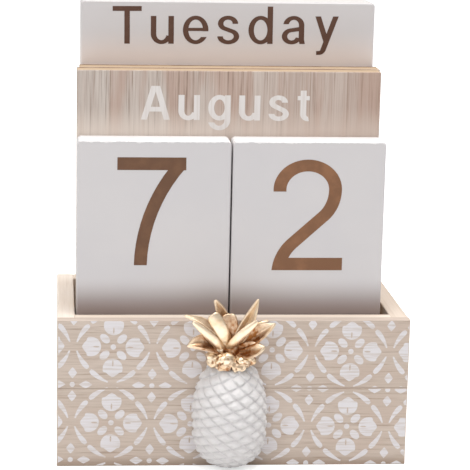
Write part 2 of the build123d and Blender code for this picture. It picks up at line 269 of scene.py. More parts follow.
class Shader:
    """A material under construction, with short ways to add and join its nodes."""

    def __init__(self, name: str) -> None:
        """Starts a material with a principled surface that reads Object coordinates.

        Args:
            name: The finish's name.
        """
        self.material = bpy.data.materials.new(name)
        self.material.use_nodes = True
        self.tree = self.material.node_tree
        self.tree.nodes.clear()
        output = self.add("ShaderNodeOutputMaterial")
        self.surface = self.add("ShaderNodeBsdfPrincipled")
        self.join(self.surface.outputs["BSDF"], output.inputs["Surface"])
        self.place = self.add("ShaderNodeTexCoord").outputs["Object"]

    def add(self, kind: str, **settings: object) -> Node:
        """Adds a node.

        Args:
            kind: The node's type.
            **settings: The node's own settings.

        Returns:
            The new node.
        """
        node = self.tree.nodes.new(kind)
        for name, value in settings.items():
            setattr(node, name, value)
        return node

    def join(self, source: object, socket: NodeSocket) -> None:
        """Links an output to an input, or gives the input a plain value."""
        if isinstance(source, NodeSocket):
            self.tree.links.new(source, socket)
        else:
            socket.default_value = source

    def noise(
        self, cell: Sequence[float], detail: float = 3.0, roughness: float = 0.55, start: float = 0.0
    ) -> NodeSocket:
        """Adds a noise whose cells have their own length along each axis.

        Args:
            cell: The length of a cell along X, Y and Z, in millimetres.
            detail: How many finer layers the noise has.
            roughness: How strong the finer layers are.
            start: An offset that gives another part of the noise.

        Returns:
            The noise's value, about 0.5 on average.
        """
        mapping = self.add("ShaderNodeMapping")
        scale = [1 / (length * MM) for length in cell]
        set_inputs(mapping, {"Scale": scale, "Location": (start, start, start)})
        self.join(self.place, mapping.inputs["Vector"])
        texture = self.add("ShaderNodeTexNoise")
        set_inputs(texture, {"Scale": 1.0, "Detail": detail, "Roughness": roughness})
        self.join(mapping.outputs["Vector"], texture.inputs["Vector"])
        return texture.outputs["Fac"]

    def spread(
        self, value: NodeSocket, low: float, high: float, start: float = 0.0, end: float = 1.0
    ) -> NodeSocket:
        """Maps a value from one range to another, and clamps it there.

        Args:
            value: The value to map.
            low: The value that becomes start.
            high: The value that becomes end.
            start: The result at low.
            end: The result at high.

        Returns:
            The mapped value.
        """
        node = self.add("ShaderNodeMapRange", interpolation_type="SMOOTHSTEP")
        set_inputs(node, {"From Min": low, "From Max": high, "To Min": start, "To Max": end})
        self.join(value, node.inputs["Value"])
        return node.outputs["Result"]

    def patches(
        self, cell: Sequence[float], rise: Point2, share: Point2 = (0.0, 1.0), **grain: float
    ) -> NodeSocket:
        """Lays soft patches over the surface.

        Args:
            cell: The length of a patch along X, Y and Z, in millimetres.
            rise: The values of the noise at which the patches begin and are whole.
            share: The result outside the patches and in them.
            **grain: The noise's detail, roughness and start.

        Returns:
            The patches.
        """
        return self.spread(self.noise(cell, **grain), *rise, *share)

    def mix(self, factor: object, first: object, second: object) -> NodeSocket:
        """Mixes two colours.

        Args:
            factor: The share of the second colour, as a number or an output.
            first: A colour or an output.
            second: A colour or an output.

        Returns:
            The mixed colour.
        """
        node = self.add("ShaderNodeMix", data_type="RGBA")
        for index, source in zip(MIX_INPUTS, (factor, first, second)):
            self.join(source, node.inputs[index])
        return node.outputs[MIX_RESULT]

    def along(self, axis: Axis, vector: NodeSocket | None = None) -> NodeSocket:
        """One axis's part of a vector: of the place, in metres, where no other is given."""
        split = self.add("ShaderNodeSeparateXYZ")
        self.join(self.place if vector is None else vector, split.inputs[0])
        return split.outputs[axis.value]

    def combine(self, first: NodeSocket, second: object, operation: str) -> NodeSocket:
        """Works out one value from two.

        Args:
            first: The first value.
            second: The second value, as a number or an output.
            operation: The math node's operation.

        Returns:
            The result.
        """
        node = self.add("ShaderNodeMath", operation=operation)
        self.join(first, node.inputs[0])
        self.join(second, node.inputs[1])
        return node.outputs[0]

    def times(self, first: NodeSocket, second: object) -> NodeSocket:
        """The product of two values."""
        return self.combine(first, second, "MULTIPLY")

    def recess(self) -> NodeSocket:
        """How much painted shade a cast piece gets here."""
        return self.add("ShaderNodeAttribute", attribute_name=PAINTED_SHADE).outputs["Fac"]

    def bump(self, height: NodeSocket, depth: float, strength: float) -> None:
        """Gives the surface its fine relief.

        Args:
            height: The relief's height, from 0 to 1.
            depth: The height of 1, in millimetres.
            strength: How much of the relief shows.
        """
        node = self.add("ShaderNodeBump")
        set_inputs(node, {"Strength": strength, "Distance": depth * MM})
        self.join(height, node.inputs["Height"])
        self.join(node.outputs["Normal"], self.surface.inputs["Normal"])

    def edge_faces(self, axis: Axis) -> NodeSocket:
        """Tells a board's edges from its two wide faces.

        Args:
            axis: The axis that the wide faces look along.

        Returns:
            1 on the edges and 0 on the faces.
        """
        normal = self.add("ShaderNodeNewGeometry").outputs["True Normal"]
        facing = self.combine(self.along(axis, normal), 0.0, "ABSOLUTE")
        return self.spread(facing, *EDGE_FACING, 1.0, 0.0)


@dataclass(frozen=True, kw_only=True)
class Finish:
    """What a surface looks like: each kind works out its own colour and its own fine relief."""

    name: str
    roughness: float
    specular: float = 0.3
    metallic: float = 0.0
    skin: float = 0.0  # size of the grain of its skin, in millimetres; 0 for a smooth one
    skin_start: float = 0.0
    bump_depth: float = 0.0  # height of the relief, in millimetres
    bump_strength: float = 0.5

    def paint(self, shader: Shader) -> NodeSocket:
        """The finish's colour."""
        raise NotImplementedError

    def relief(self, shader: Shader) -> NodeSocket | None:
        """The height of its fine relief, or None for a smooth skin."""
        return shader.noise([self.skin] * 3, start=self.skin_start) if self.skin else None

    def build(self) -> Material:
        """Makes the material.

        Returns:
            The finished material.
        """
        shader = Shader(self.name)
        shader.join(self.paint(shader), shader.surface.inputs["Base Color"])
        shader.surface.inputs["Roughness"].default_value = self.roughness
        shader.surface.inputs["Specular IOR Level"].default_value = self.specular
        shader.surface.inputs["Metallic"].default_value = self.metallic
        height = self.relief(shader)
        if height is not None:
            shader.bump(height, self.bump_depth, self.bump_strength)
        return shader.material


@dataclass(frozen=True, kw_only=True)
class WoodFinish(Finish):
    """Bare wood with fibres, darker streaks, a slow change of tone along its grain and painted shade at its
    foot.
    """

    grain: Axis
    light: Colour
    dark: Colour
    streak: Colour
    tint: Colour
    streak_share: float
    tint_share: float = 0.3
    fibre: float = 0.9  # widths of a fibre and of a streak, and a fibre's length, in millimetres
    streak_width: float = 2.2
    length: float = 45.0
    foot: float = 0.1  # the height below which it is darkened by painted shade, in millimetres
    foot_painted_shade: float = 0.75  # how dark that painted shade is at the very foot
    roughness: float = 0.72
    bump_depth: float = 0.12

    def cell(self, width: float, length: float) -> list[float]:
        """The size of a noise cell that is long along the grain."""
        return [length if axis is self.grain else width for axis in Axis]

    def paint(self, shader: Shader) -> NodeSocket:
        """Works out the wood's colour.

        Args:
            shader: The material that gets it.

        Returns:
            The colour.
        """
        base = shader.mix(shader.spread(self.relief(shader), 0.38, 0.66, 0.0, 0.6), self.light, self.dark)
        slow, broad = self.cell(14.0, self.length * 3), self.cell(9.0, self.length * 2)
        tone = shader.patches(slow, (0.35, 0.65), (0.0, 0.35), detail=2.0, start=3.1)
        base = shader.mix(tone, base, self.dark)
        warm = shader.patches(broad, (0.46, 0.62), (0.0, self.tint_share), roughness=0.5, start=11.9)
        base = shader.mix(warm, base, self.tint)
        narrow = self.cell(self.streak_width, self.length * 1.4)
        lines = {"detail": 5.0, "roughness": 0.65, "start": 1.3}
        streaks = shader.patches(narrow, (0.52, 0.7), (0.0, self.streak_share), **lines)
        # painted shade along the foot, where the board meets the floor
        foot_painted_shade_mask = shader.spread(shader.along(Axis.Z), 0.0, self.foot * MM, self.foot_painted_shade, 0.0)
        return shader.mix(shader.combine(streaks, foot_painted_shade_mask, "MAXIMUM"), base, self.streak)

    def relief(self, shader: Shader) -> NodeSocket:
        """The height of the open grain."""
        return shader.noise(self.cell(self.fibre, self.length), detail=4.0, roughness=0.6, start=7.7)


@dataclass(frozen=True, kw_only=True)
class VeneerFinish(WoodFinish):
    """Veneered plywood, paler low down with painted bounce light, warmer to the right, and with a dark ply at
    its back.
    """

    # the paler tone of the painted bounce light low on the face
    painted_bounce_tone: Colour
    edge: Colour
    dark_ply: Colour
    painted_bounce_heights: Point2 = (130.0, 143.0)  # heights between which the painted bounce light dies away upwards, in millimetres
    painted_bounce_share: float = 0.65
    ply: float = 2.8  # thickness of the dark ply
    ply_blur: float = 0.15  # and how softly it begins, as a share of it
    nicks: float = 0.9  # width of the chipped strip along the front
    drift: float = 0.38  # how much of the tint there is at the face's right side
    specular: float = 0.25
    bump_depth: float = 0.1
    node: str = ""  # the plate between whose faces the plies lie

    def fitted(self, node: str) -> "VeneerFinish":
        """The same finish for one plate."""
        return replace(self, name=f"{self.name}_{node}", node=node)

    def paint(self, shader: Shader) -> NodeSocket:
        """Works out the colour of the plate's faces and of its sawn edges.

        Args:
            shader: The material that gets it.

        Returns:
            The colour.
        """
        low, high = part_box(self.node)
        height, depth = shader.along(Axis.Z), shader.along(Axis.Y)
        foot, top = (value * MM for value in self.painted_bounce_heights)
        # painted bounce light: paler low on the face, dying away upwards
        painted_bounce = shader.spread(height, foot, top, self.painted_bounce_share, 0.0)
        face = shader.mix(painted_bounce, super().paint(shader), self.painted_bounce_tone)
        aside = shader.spread(shader.along(Axis.X), low.x, high.x, 0.0, self.drift)
        face = shader.mix(aside, face, self.tint)
        begins, whole = (high.y - self.ply * (1 + blur) * MM for blur in (self.ply_blur, -self.ply_blur))
        ply = shader.spread(depth, begins, whole)
        gaps = shader.patches((9.0, 0.6, 9.0), (0.36, 0.56), (0.25, 1.0), start=5.0)
        rough = {"detail": 4.0, "roughness": 0.6, "start": 8.0}
        chips = shader.patches((2.2, 0.8, 2.2), (0.56, 0.64), (0.0, 0.8), **rough)
        near_front = shader.spread(depth, low.y + self.nicks * MM, low.y + self.nicks * 1.6 * MM, 1.0, 0.0)
        sawn = shader.mix(shader.times(near_front, chips), self.edge, self.dark_ply)
        sawn = shader.mix(shader.times(ply, gaps), sawn, self.dark_ply)
        return shader.mix(shader.edge_faces(Axis.Y), face, sawn)


@dataclass(frozen=True, kw_only=True)
class PaintFinish(Finish):
    """Satin paint on board, with lighter edges that are part wear and part painted highlight, a band of
    painted light and a ragged rim at the top.
    """

    coat: Colour
    shade: Colour
    # lighter paint on the top, sides and bevels, part wear and part painted highlight; the chipped rim takes
    # it too
    edge: Colour
    # the band's tone: painted shade on the number plates, painted bounce light on the weekday plates
    painted_light_tone: Colour
    band: tuple[float, float, float]  # height of the painted light band's foot, strongest line and top
    chipped: float = 1000.0  # the height above which the paint is chipped away unevenly
    ragged: float = 2.4  # how far the chips reach up and down
    chip_blur: float = 0.3
    # how far the edges take that colour: part wear, part painted highlight
    edge_wear_and_highlight: float = 0.6
    roughness: float = 0.5
    specular: float = 0.35
    skin: float = 0.7
    bump_depth: float = 0.02
    bump_strength: float = 0.6

    def paint(self, shader: Shader) -> NodeSocket:
        """Works out the paint's colour, its band of painted light, and the lighter paint of its chips, its
        wear and its painted highlights.

        Args:
            shader: The material that gets it.

        Returns:
            The colour.
        """
        clouds = shader.patches((40.0, 40.0, 30.0), (0.3, 0.7), (0.0, 0.5), start=2.2)
        coat = shader.mix(clouds, self.coat, self.shade)
        # a band of painted light across the plate
        foot, strongest, top = (height * MM for height in self.band)
        height = shader.along(Axis.Z)
        below, above = shader.spread(height, foot, strongest), shader.spread(height, strongest, top, 1.0, 0.0)
        coat = shader.mix(shader.times(below, above), coat, self.painted_light_tone)
        chips = shader.noise((3.2, 3.2, 30.0), detail=4.0, roughness=0.6, start=14.0)
        level = shader.combine(height, shader.times(chips, self.ragged * MM), "ADD")
        middle = self.chipped + self.ragged / 2
        rim = shader.spread(level, middle * MM, (middle + self.chip_blur) * MM)
        # lighter top, sides and bevels: part wear, part painted highlight
        edge_wear_and_highlight = shader.times(shader.edge_faces(Axis.Y), self.edge_wear_and_highlight)
        return shader.mix(shader.combine(edge_wear_and_highlight, rim, "MAXIMUM"), coat, self.edge)


@dataclass(frozen=True, kw_only=True)
class InkFinish(Finish):
    """Printed ink whose tone drifts a little and that lets a trace of the ground through."""

    ink: Colour
    drift: Colour
    grain: Sequence[float] = (3.0, 3.0, 3.0)
    thin: float = 0.35
    roughness: float = 0.6

    def paint(self, shader: Shader) -> NodeSocket:
        """The ink's colour."""
        rough = {"detail": 4.0, "roughness": 0.6, "start": 4.4}
        patches = shader.patches(self.grain, (0.42, 0.72), (0.0, self.thin), **rough)
        return shader.mix(patches, self.ink, self.drift)


@dataclass(frozen=True, kw_only=True)
class CastFinish(Finish):
    """Matte paint on a casting, darkened by painted shade in its grooves."""

    coat: Colour
    # the colour of the painted shade in the grooves
    groove: Colour
    roughness: float = 0.62
    specular: float = 0.35
    skin: float = 0.8
    bump_depth: float = 0.04
    bump_strength: float = 0.7

    def paint(self, shader: Shader) -> NodeSocket:
        """The paint's colour, with the painted shade in its grooves."""
        patches = shader.patches((2.2, 2.2, 2.2), (0.36, 0.64), (0.15, 1.0), detail=4.0, start=6.0)
        return shader.mix(shader.times(shader.recess(), patches), self.coat, self.groove)


@dataclass(frozen=True, kw_only=True)
class GildFinish(Finish):
    """Bright gilding over a cast skin that is never quite flat, with dark painted shade in its hollows and
    dents.
    """

    gold: Colour
    deep: Colour
    # the colour of the painted shade in hollows, dents and between the leaves
    brown: Colour
    roughness: float = 0.4
    specular: float = 0.5
    metallic: float = 1.0
    skin: float = 1.8
    skin_start: float = 1.0
    bump_depth: float = 0.25

    def paint(self, shader: Shader) -> NodeSocket:
        """The gilding's colour, with its painted shade."""
        deeper = shader.patches((3.5, 3.5, 3.5), (0.4, 0.7), (0.0, 0.6), start=9.0)
        gold = shader.mix(deeper, self.gold, self.deep)
        smears = shader.patches((1.6, 1.6, 1.6), (0.3, 0.7), (0.6, 1.2), detail=4.0, start=12.0)
        return shader.mix(shader.times(shader.recess(), smears), gold, self.brown)


FRONT_WOOD = WoodFinish(
    name="slat_wood",
    grain=Axis.X,
    light=srgb(204, 189, 177),
    dark=srgb(185, 168, 154),
    streak=srgb(150, 128, 110),
    tint=srgb(193, 173, 159),
    streak_share=0.65,
    tint_share=0.5,
    fibre=0.7,
    streak_width=0.9,
    length=17.0,
    # painted shade over the lowest 5 mm, at the lower slat's foot
    foot=5.0,
)
TRAY_WOOD = WoodFinish(
    name="tray_wood",
    grain=Axis.X,
    light=srgb(232, 219, 205),
    dark=srgb(219, 202, 186),
    streak=srgb(198, 177, 156),
    tint=srgb(226, 207, 190),
    streak_share=0.35,
)
# the left side in a lighter copy of the tray's wood: painted light against the plates' shade
LEFT_WOOD_PAINTED_LIGHTER = replace(
    TRAY_WOOD,
    name="left_side_wood",
    grain=Axis.Y,
    light=srgb(239, 227, 215),
    dark=srgb(227, 213, 199),
    streak=srgb(206, 187, 169),
    tint=srgb(234, 217, 202),
)
# the right side in a darker copy: painted shade where the top light falls on it more strongly
RIGHT_WOOD_PAINTED_DARKER = replace(
    TRAY_WOOD,
    name="right_side_wood",
    grain=Axis.Y,
    light=srgb(221, 207, 193),
    dark=srgb(208, 192, 177),
    streak=srgb(188, 168, 148),
    tint=srgb(215, 197, 181),
)
MONTH_VENEER = VeneerFinish(
    name="month_veneer",
    grain=Axis.Z,
    light=srgb(205, 196, 188),
    dark=srgb(166, 149, 139),
    streak=srgb(120, 98, 84),
    tint=srgb(176, 147, 132),
    streak_share=0.75,
    tint_share=0.6,
    fibre=0.55,
    streak_width=0.85,
    length=32.0,
    roughness=0.7,
    # the paler tone of painted bounce light low on the face
    painted_bounce_tone=srgb(228, 216, 205),
    edge=srgb(184, 160, 133),
    dark_ply=srgb(108, 78, 54),
)
NUMBER_PAINT = PaintFinish(
    name="number_paint",
    coat=srgb(206, 202, 202),
    shade=srgb(200, 197, 199),
    # the lighter edges are part wear and part painted highlight
    edge=srgb(226, 223, 222),
    # painted shade low on the plates, strongest at the tray's front rim
    painted_light_tone=srgb(138, 124, 120),
    band=(0.0, 60.5, 75.5),
    chipped=129.2,
)
WEEKDAY_PAINT = PaintFinish(
    name="weekday_paint",
    coat=srgb(203, 199, 199),
    shade=srgb(198, 193, 193),
    # the lighter edges are part wear and part painted highlight
    edge=srgb(212, 206, 202),
    # painted warm bounce light low on the face, from the month plates' tops
    painted_light_tone=srgb(222, 211, 206),
    band=(140.0, 157.0, 172.0),
)
BROWN_INK = InkFinish(
    name="brown_ink", ink=srgb(103, 73, 54), drift=srgb(120, 86, 62), grain=(9.0, 9.0, 9.0), thin=0.8
)
TAN_INK = replace(BROWN_INK, name="tan_ink", ink=srgb(124, 87, 62), drift=srgb(146, 104, 74))
UMBER_INK = InkFinish(name="umber_ink", ink=srgb(87, 59, 46), drift=srgb(102, 74, 60))
WHITE_INK = InkFinish(
    name="white_ink", ink=srgb(219, 215, 217), drift=srgb(198, 186, 177), grain=(14.0, 1.4, 0.8), thin=0.85
)
MONTH_INK = InkFinish(
    name="month_ink", ink=srgb(219, 214, 211), drift=srgb(203, 193, 186), grain=(0.8, 1.4, 20.0), thin=0.5
)
# its groove colour is painted shade along the scales' lower sides
FRUIT_PAINT = CastFinish(name="fruit_paint", coat=srgb(218, 215, 214), groove=srgb(188, 184, 185))
GILDING = GildFinish(
    # its brown is the painted shade in the hollows, the dents and between the leaves
    name="gilding", gold=srgb(238, 219, 193), deep=srgb(220, 188, 146), brown=srgb(146, 94, 52)
)


# ==== lettering
@dataclass(frozen=True)
class Pen:
    """The widths of a letter's strokes, in cap heights."""

    weight: float  # an upright stroke
    level: float  # a round stroke where it runs level
    beam: float  # a straight level stroke

    def across(self, heading: float) -> float:
        """The width of a stroke that runs this way, in degrees from the right."""
        return self.weight - (self.weight - self.level) * cos(radians(heading)) ** 2


Rims = tuple[list[Point2], list[Point2]]


class Level(IntFlag):
    """The ends of a round stroke that are cut level."""

    NONE = 0
    START = 1
    END = 2
    BOTH = 3


class Stroke:
    """One stroke of a letter, in cap heights from the letter's lower left corner."""

    def rims(self, pen: Pen) -> Rims:
        """The stroke's right rim and left rim, seen along it, with as many points on each."""
        raise NotImplementedError


@dataclass(frozen=True)
class Stem(Stroke):
    """An upright stroke at x: right of it (side 1), left of it (side -1) or about it (side 0)."""

    x: float
    start: float
    end: float
    side: int = 0

    def rims(self, pen: Pen) -> Rims:
        """The stroke's right rim and left rim, seen along it."""
        middle = self.x + self.side * pen.weight / 2
        half = copysign(pen.weight / 2, self.end - self.start)
        right = [(middle + half, y) for y in (self.start, self.end)]
        return right, [(x - 2 * half, y) for x, y in right]


@dataclass(frozen=True)
class Beam(Stroke):
    """A level stroke at y: above it (side 1), below it (side -1) or about it (side 0)."""

    y: float
    left: float
    right: float
    side: int = 0
    share: float = 1.0  # of the pen's beam

    def rims(self, pen: Pen) -> Rims:
        """The stroke's right rim and left rim, seen along it."""
        width = pen.beam * self.share
        low = self.y + (self.side - 1) * width / 2
        right = [(x, low) for x in (self.left, self.right)]
        return right, [(x, y + width) for x, y in right]


@dataclass(frozen=True)
class Slant(Stroke):
    """A sloping stroke with level ends, from its foot's middle to its head's middle."""

    foot: float
    head: float
    low: float
    high: float

    def rims(self, pen: Pen) -> Rims:
        """The stroke's right rim and left rim, seen along it."""
        heading = degrees(atan2(self.high - self.low, self.head - self.foot))
        half = pen.across(heading) / 2 / sin(radians(heading))
        right = [(self.foot + half, self.low), (self.head + half, self.high)]
        return right, [(x - 2 * half, y) for x, y in right]


@dataclass(frozen=True)
class Cut(Stroke):
    """The start, a joint or the end of a run: a place, the way that the run heads there, and its cut."""

    x: float
    y: float
    heading: float  # degrees, counter-clockwise from the right
    level: bool = False

    def rims(self, pen: Pen) -> Rims:
        """The stroke's right rim and left rim, seen along it."""
        turn = radians(self.heading)
        half = pen.across(self.heading) / 2
        side, rise = sin(turn) * half, -cos(turn) * half
        if self.level:
            side, rise = half / sin(turn), 0.0
        return [(self.x + side, self.y + rise)], [(self.x - side, self.y - rise)]


@dataclass(frozen=True)
class Bow(Stroke):
    """An elliptical stroke, given by its middle and its outer radii."""

    x: float
    y: float
    across: float
    up: float
    start: float = 0.0  # degrees, counter-clockwise from the right
    end: float = 360.0
    level: Level = Level.NONE

    def rim_angle(self, angle: float, up: float, pen: Pen) -> float:
        """The angle at which a rim reaches the height where the middle line ends.

        Args:
            angle: The angle at which the middle line ends, in degrees.
            up: The rim's radius along Y.
            pen: The widths of the strokes.

        Returns:
            The rim's own angle, in degrees.
        """
        height = (self.up - pen.level / 2) * sin(radians(angle))
        rim = degrees(asin(max(-1.0, min(1.0, height / up))))
        if cos(radians(angle)) < 0:
            rim = 180 - rim
        return rim + 360 * round((angle - rim) / 360)

    def rims(self, pen: Pen) -> Rims:
        """The stroke's right rim and left rim, seen along it."""
        count = max(10, ceil(abs(self.end - self.start) / 4.5))
        rims = []
        for across, up in ((self.across, self.up), (self.across - pen.weight, self.up - pen.level)):
            start = self.rim_angle(self.start, up, pen) if Level.START in self.level else self.start
            end = self.rim_angle(self.end, up, pen) if Level.END in self.level else self.end
            turns = [radians(start + (end - start) * step / count) for step in range(count + 1)]
            rims.append([(self.x + across * cos(t), self.y + up * sin(t)) for t in turns])
        outer, inner = rims
        return (outer, inner) if self.end > self.start else (inner, outer)


@dataclass(frozen=True)
class Run(Stroke):
    """Several strokes drawn as one, joined by straight stretches."""

    parts: tuple[Stroke, ...]

    def rims(self, pen: Pen) -> Rims:
        """The stroke's right rim and left rim, seen along it."""
        pairs = [part.rims(pen) for part in self.parts]
        return [p for right, _ in pairs for p in right], [p for _, left in pairs for p in left]


LOWER = 0.74  # height of a small letter
TAIL = -0.285  # how far a tail hangs below the line
Glyph = tuple[float, tuple[Stroke, ...]]


def bowl(width: float) -> Bow:
    """The round part of a small letter of this width."""
    return Bow(width / 2, LOWER / 2, width / 2, LOWER / 2 + 0.01)


def arch(left: float, right: float) -> tuple[Stroke, ...]:
    """The arch of n, h and m between two upright edges."""
    middle, radius = (left + right) / 2 + 0.02, (right - left) / 2 - 0.02
    foot = LOWER - radius * 0.95
    return (Run((Bow(middle, foot, radius, radius * 0.95 + 0.01, 165, 0), Stem(right, foot, 0, -1))),)


def double_bend(width: float, height: float) -> Run:
    """The stroke of s and S."""
    return Run((
        Bow(width * 0.48, height * 0.735, width * 0.46, height * 0.28, -3, 235, Level.START),
        Bow(width * 0.5, height * 0.268, width * 0.5, height * 0.283, 55, -181, Level.END),
    ))


GLYPHS: dict[str, Glyph] = {
    "A": (0.85, (Slant(0.085, 0.385, 0, 1), Slant(0.765, 0.465, 0, 1), Beam(0.31, 0.2, 0.65))),
    "D": (0.8, (Stem(0, 0, 1, 1), Run((
        Cut(0.1, 0.06, 0), Bow(0.35, 0.5, 0.45, 0.505, -90, 90), Cut(0.1, 0.94, 180),
    )))),
    "F": (0.64, (Stem(0, 0, 1, 1), Beam(1, 0, 0.64, -1), Beam(0.55, 0, 0.58))),
    "J": (0.57, (Run((Stem(0.57, 1, 0.28, -1), Bow(0.285, 0.28, 0.285, 0.29, 0, -172, Level.END))),)),
    "M": (0.94, (
        Stem(0, 0, 1, 1), Stem(0.94, 0, 1, -1), Slant(0.47, 0.1, 0.1, 1), Slant(0.47, 0.84, 0.1, 1),
    )),
    "N": (0.8, (Stem(0, 0, 1, 1), Stem(0.8, 0, 1, -1), Slant(0.71, 0.09, 0, 1))),
    "O": (0.92, (Bow(0.46, 0.5, 0.46, 0.515),)),
    "S": (0.78, (double_bend(0.78, 1.0),)),
    "T": (0.79, (Beam(1, 0, 0.79, -1), Stem(0.395, 0, 0.95))),
    "W": (1.1, (
        Slant(0.28, 0.085, 0, 1), Slant(0.28, 0.55, 0, 1), Slant(0.82, 0.55, 0, 1), Slant(0.82, 1.015, 0, 1),
    )),
    "a": (0.66, (
        Run((
            Bow(0.325, 0.5, 0.29, 0.25, 171, 0, Level.START),
            Stem(0.615, 0.49, 0.12, -1),
            Cut(0.565, 0.0, 283, True),
        )),
        Run((Cut(0.55, 0.41, 188), Bow(0.27, 0.205, 0.27, 0.215, 104, 345))),
    )),
    "b": (0.67, (Stem(0, 0, 1, 1), bowl(0.67))),
    "c": (0.65, (Bow(0.33, LOWER / 2, 0.33, LOWER / 2 + 0.01, 33, 327, Level.BOTH),)),
    "d": (0.67, (bowl(0.67), Stem(0.67, 0, 1, -1))),
    "e": (0.69, (Bow(0.345, 0.37, 0.35, 0.38, -6, 325, Level.BOTH), Beam(0.383, 0.08, 0.62, 0, 0.65))),
    "g": (0.66, (bowl(0.66), Run((Stem(0.66, LOWER, 0, -1), Bow(0.33, 0, 0.33, 0.3, 0, -163, Level.END))))),
    "h": (0.63, (Stem(0, 0, 1, 1), *arch(0, 0.63))),
    "i": (0.16, (Stem(0.08, 0, LOWER), Stem(0.08, 0.87, 1))),
    "l": (0.16, (Stem(0.08, 0, 1),)),
    "m": (1.0, (Stem(0, 0, LOWER, 1), *arch(0, 0.58), *arch(0.42, 1.0))),
    "n": (0.63, (Stem(0, 0, LOWER, 1), *arch(0, 0.63))),
    "o": (0.69, (bowl(0.69),)),
    "p": (0.67, (Stem(0, TAIL, LOWER, 1), bowl(0.67))),
    "r": (0.42, (Stem(0, 0, LOWER, 1), Bow(0.34, LOWER - 0.3, 0.28, 0.3, 170, 80))),
    "s": (0.6, (double_bend(0.6, LOWER),)),
    "t": (0.38, (
        Run((Stem(0.09, 0.9, 0.2, 1), Bow(0.32, 0.2, 0.23, 0.21, 180, 278))),
        Beam(LOWER, 0.0, 0.36, -1, 0.9),
    )),
    "u": (0.63, (
        Run((Stem(0, LOWER, 0.27, 1), Bow(0.29, 0.27, 0.29, 0.28, 180, 345))),
        Stem(0.63, 0, LOWER, -1),
    )),
    "v": (0.66, (Slant(0.33, 0.085, 0, LOWER), Slant(0.33, 0.575, 0, LOWER))),
    "y": (0.65, (
        Slant(0.315, 0.08, 0.06, LOWER),
        Run((Cut(0.57, LOWER, 249.6, True), Bow(0.123, -0.09, 0.2, 0.2, -20, -90), Cut(0.045, -0.242, 180))),
    )),
    "0": (0.62, (Bow(0.31, 0.5, 0.31, 0.505),)),
    "1": (0.42, (Stem(0.42, 0, 1, -1), Run((Cut(0.05, 0.76, 20), Cut(0.24, 0.84, 35), Cut(0.37, 0.96, 60))))),
    "2": (0.634, (
        Run((
            Bow(0.307, 0.73, 0.305, 0.27, 184.5, 3, Level.START),
            Bow(0.307, 0.73, 0.305, 0.35, 0, -55),
            Bow(0.42, -0.04, 0.42, 0.43, 131.4, 173.9, Level.END),
        )),
        Beam(0, 0.035, 0.634, 1),
    )),
    "3": (0.63, (
        Bow(0.3, 0.745, 0.27, 0.26, 172, -88, Level.START),
        Bow(0.3, 0.28, 0.33, 0.29, 88, -172, Level.END),
    )),
    "5": (0.63, (
        Beam(1, 0.14, 0.58, -1),
        Slant(0.09, 0.17, 0.45, 1),
        Bow(0.31, 0.325, 0.32, 0.335, 150, -172, Level.BOTH),
    )),
    "6": (0.63, (
        Bow(0.315, 0.325, 0.315, 0.33),
        Run((Cut(0.056, 0.33, 90), Bow(0.33, 0.55, 0.33, 0.455, 180, 25, Level.END))),
    )),
    "7": (0.606, (Beam(0.968, 0, 0.606, -1), Bow(1.6615, -0.026, 1.5075, 1.494, 179, 141.1, Level.BOTH))),
    "8": (0.63, (Bow(0.315, 0.75, 0.275, 0.255), Bow(0.315, 0.29, 0.315, 0.295))),
}


def strip(right: Sequence[Vector], left: Sequence[Vector]) -> Object:
    """Lays a strip of faces between two rims and closes it where its ends meet.

    Args:
        right: The points of the right rim.
        left: The points of the left rim.

    Returns:
        The flat strip.
    """
    steps = {"x_subdivisions": len(right) - 1, "y_subdivisions": 1}
    piece = Bench.add(bpy.ops.mesh.primitive_grid_add, size=1, **steps)
    Bench.place_points(piece, [*right, *left])
    with Bench.editing(piece):
        bpy.ops.mesh.remove_doubles(threshold=1e-5)
    return piece


@dataclass(frozen=True)
class Lettering:
    """A way of setting words: how tall and heavy the letters are and how far apart they stand."""

    cap_height: float
    pen: Pen
    gap: float = 0.255  # in cap heights
    narrowing: float = 1.0  # how wide the letters are drawn, as a share of their full width
    longest: float = 110.0  # in millimetres; a longer word is set closer
    relief: float = 0.05  # in millimetres

    def gap_in(self, word: str) -> float:
        """The gap between the letters of a word, in cap heights."""
        letters = sum(GLYPHS[letter][0] for letter in word)
        room = self.longest / self.cap_height / self.narrowing
        return min(self.gap, (room - letters) / max(1, len(word) - 1))

    def set_word(self, name: str, word: str) -> Object:
        """Models a word as a thin slab, centred on its own origin, in millimetres.

        Args:
            name: The new piece's name.
            word: The letters to set.

        Returns:
            The word, lying in the XY plane with its face up.
        """
        gap = self.gap_in(word)
        strokes = []
        pen_x = 0.0
        for letter in word:
            width, parts = GLYPHS[letter]
            for part in parts:
                right, left = ([Vector((x + pen_x, y, 0)) for x, y in rim] for rim in part.rims(self.pen))
                strokes.append(strip(right, left))
            pen_x += width + gap
        for piece in strokes:
            Bench.extrude(piece, self.relief / self.cap_height)
        piece = Bench.join(name, strokes)
        with Bench.editing(piece, "FACE"):
            bpy.ops.mesh.intersect_boolean(operation="UNION", use_self=True, threshold=1e-6, solver="EXACT")
        piece.data.transform(Matrix.Translation((-(pen_x - gap) / 2, 0, 0)))
        size = Vector((self.narrowing, 1.0, 1.0)) * self.cap_height
        piece.data.transform(Matrix.Diagonal((*size, 1.0)))
        return piece


NUMBER_LETTERING = Lettering(cap_height=44.7, pen=Pen(weight=0.115, level=0.105, beam=0.113))
MONTH_LETTERING = Lettering(cap_height=13.5, pen=Pen(weight=0.174, level=0.135, beam=0.14), gap=0.25)
WEEKDAY_LETTERING = Lettering(
    cap_height=15.15, pen=Pen(weight=0.15, level=0.105, beam=0.13), gap=0.252, narrowing=0.977
)


class Face(Enum):
    """The wide face of a plate that a print is on, and the turn that brings a word there."""

    FRONT = 0.0
    BACK = pi


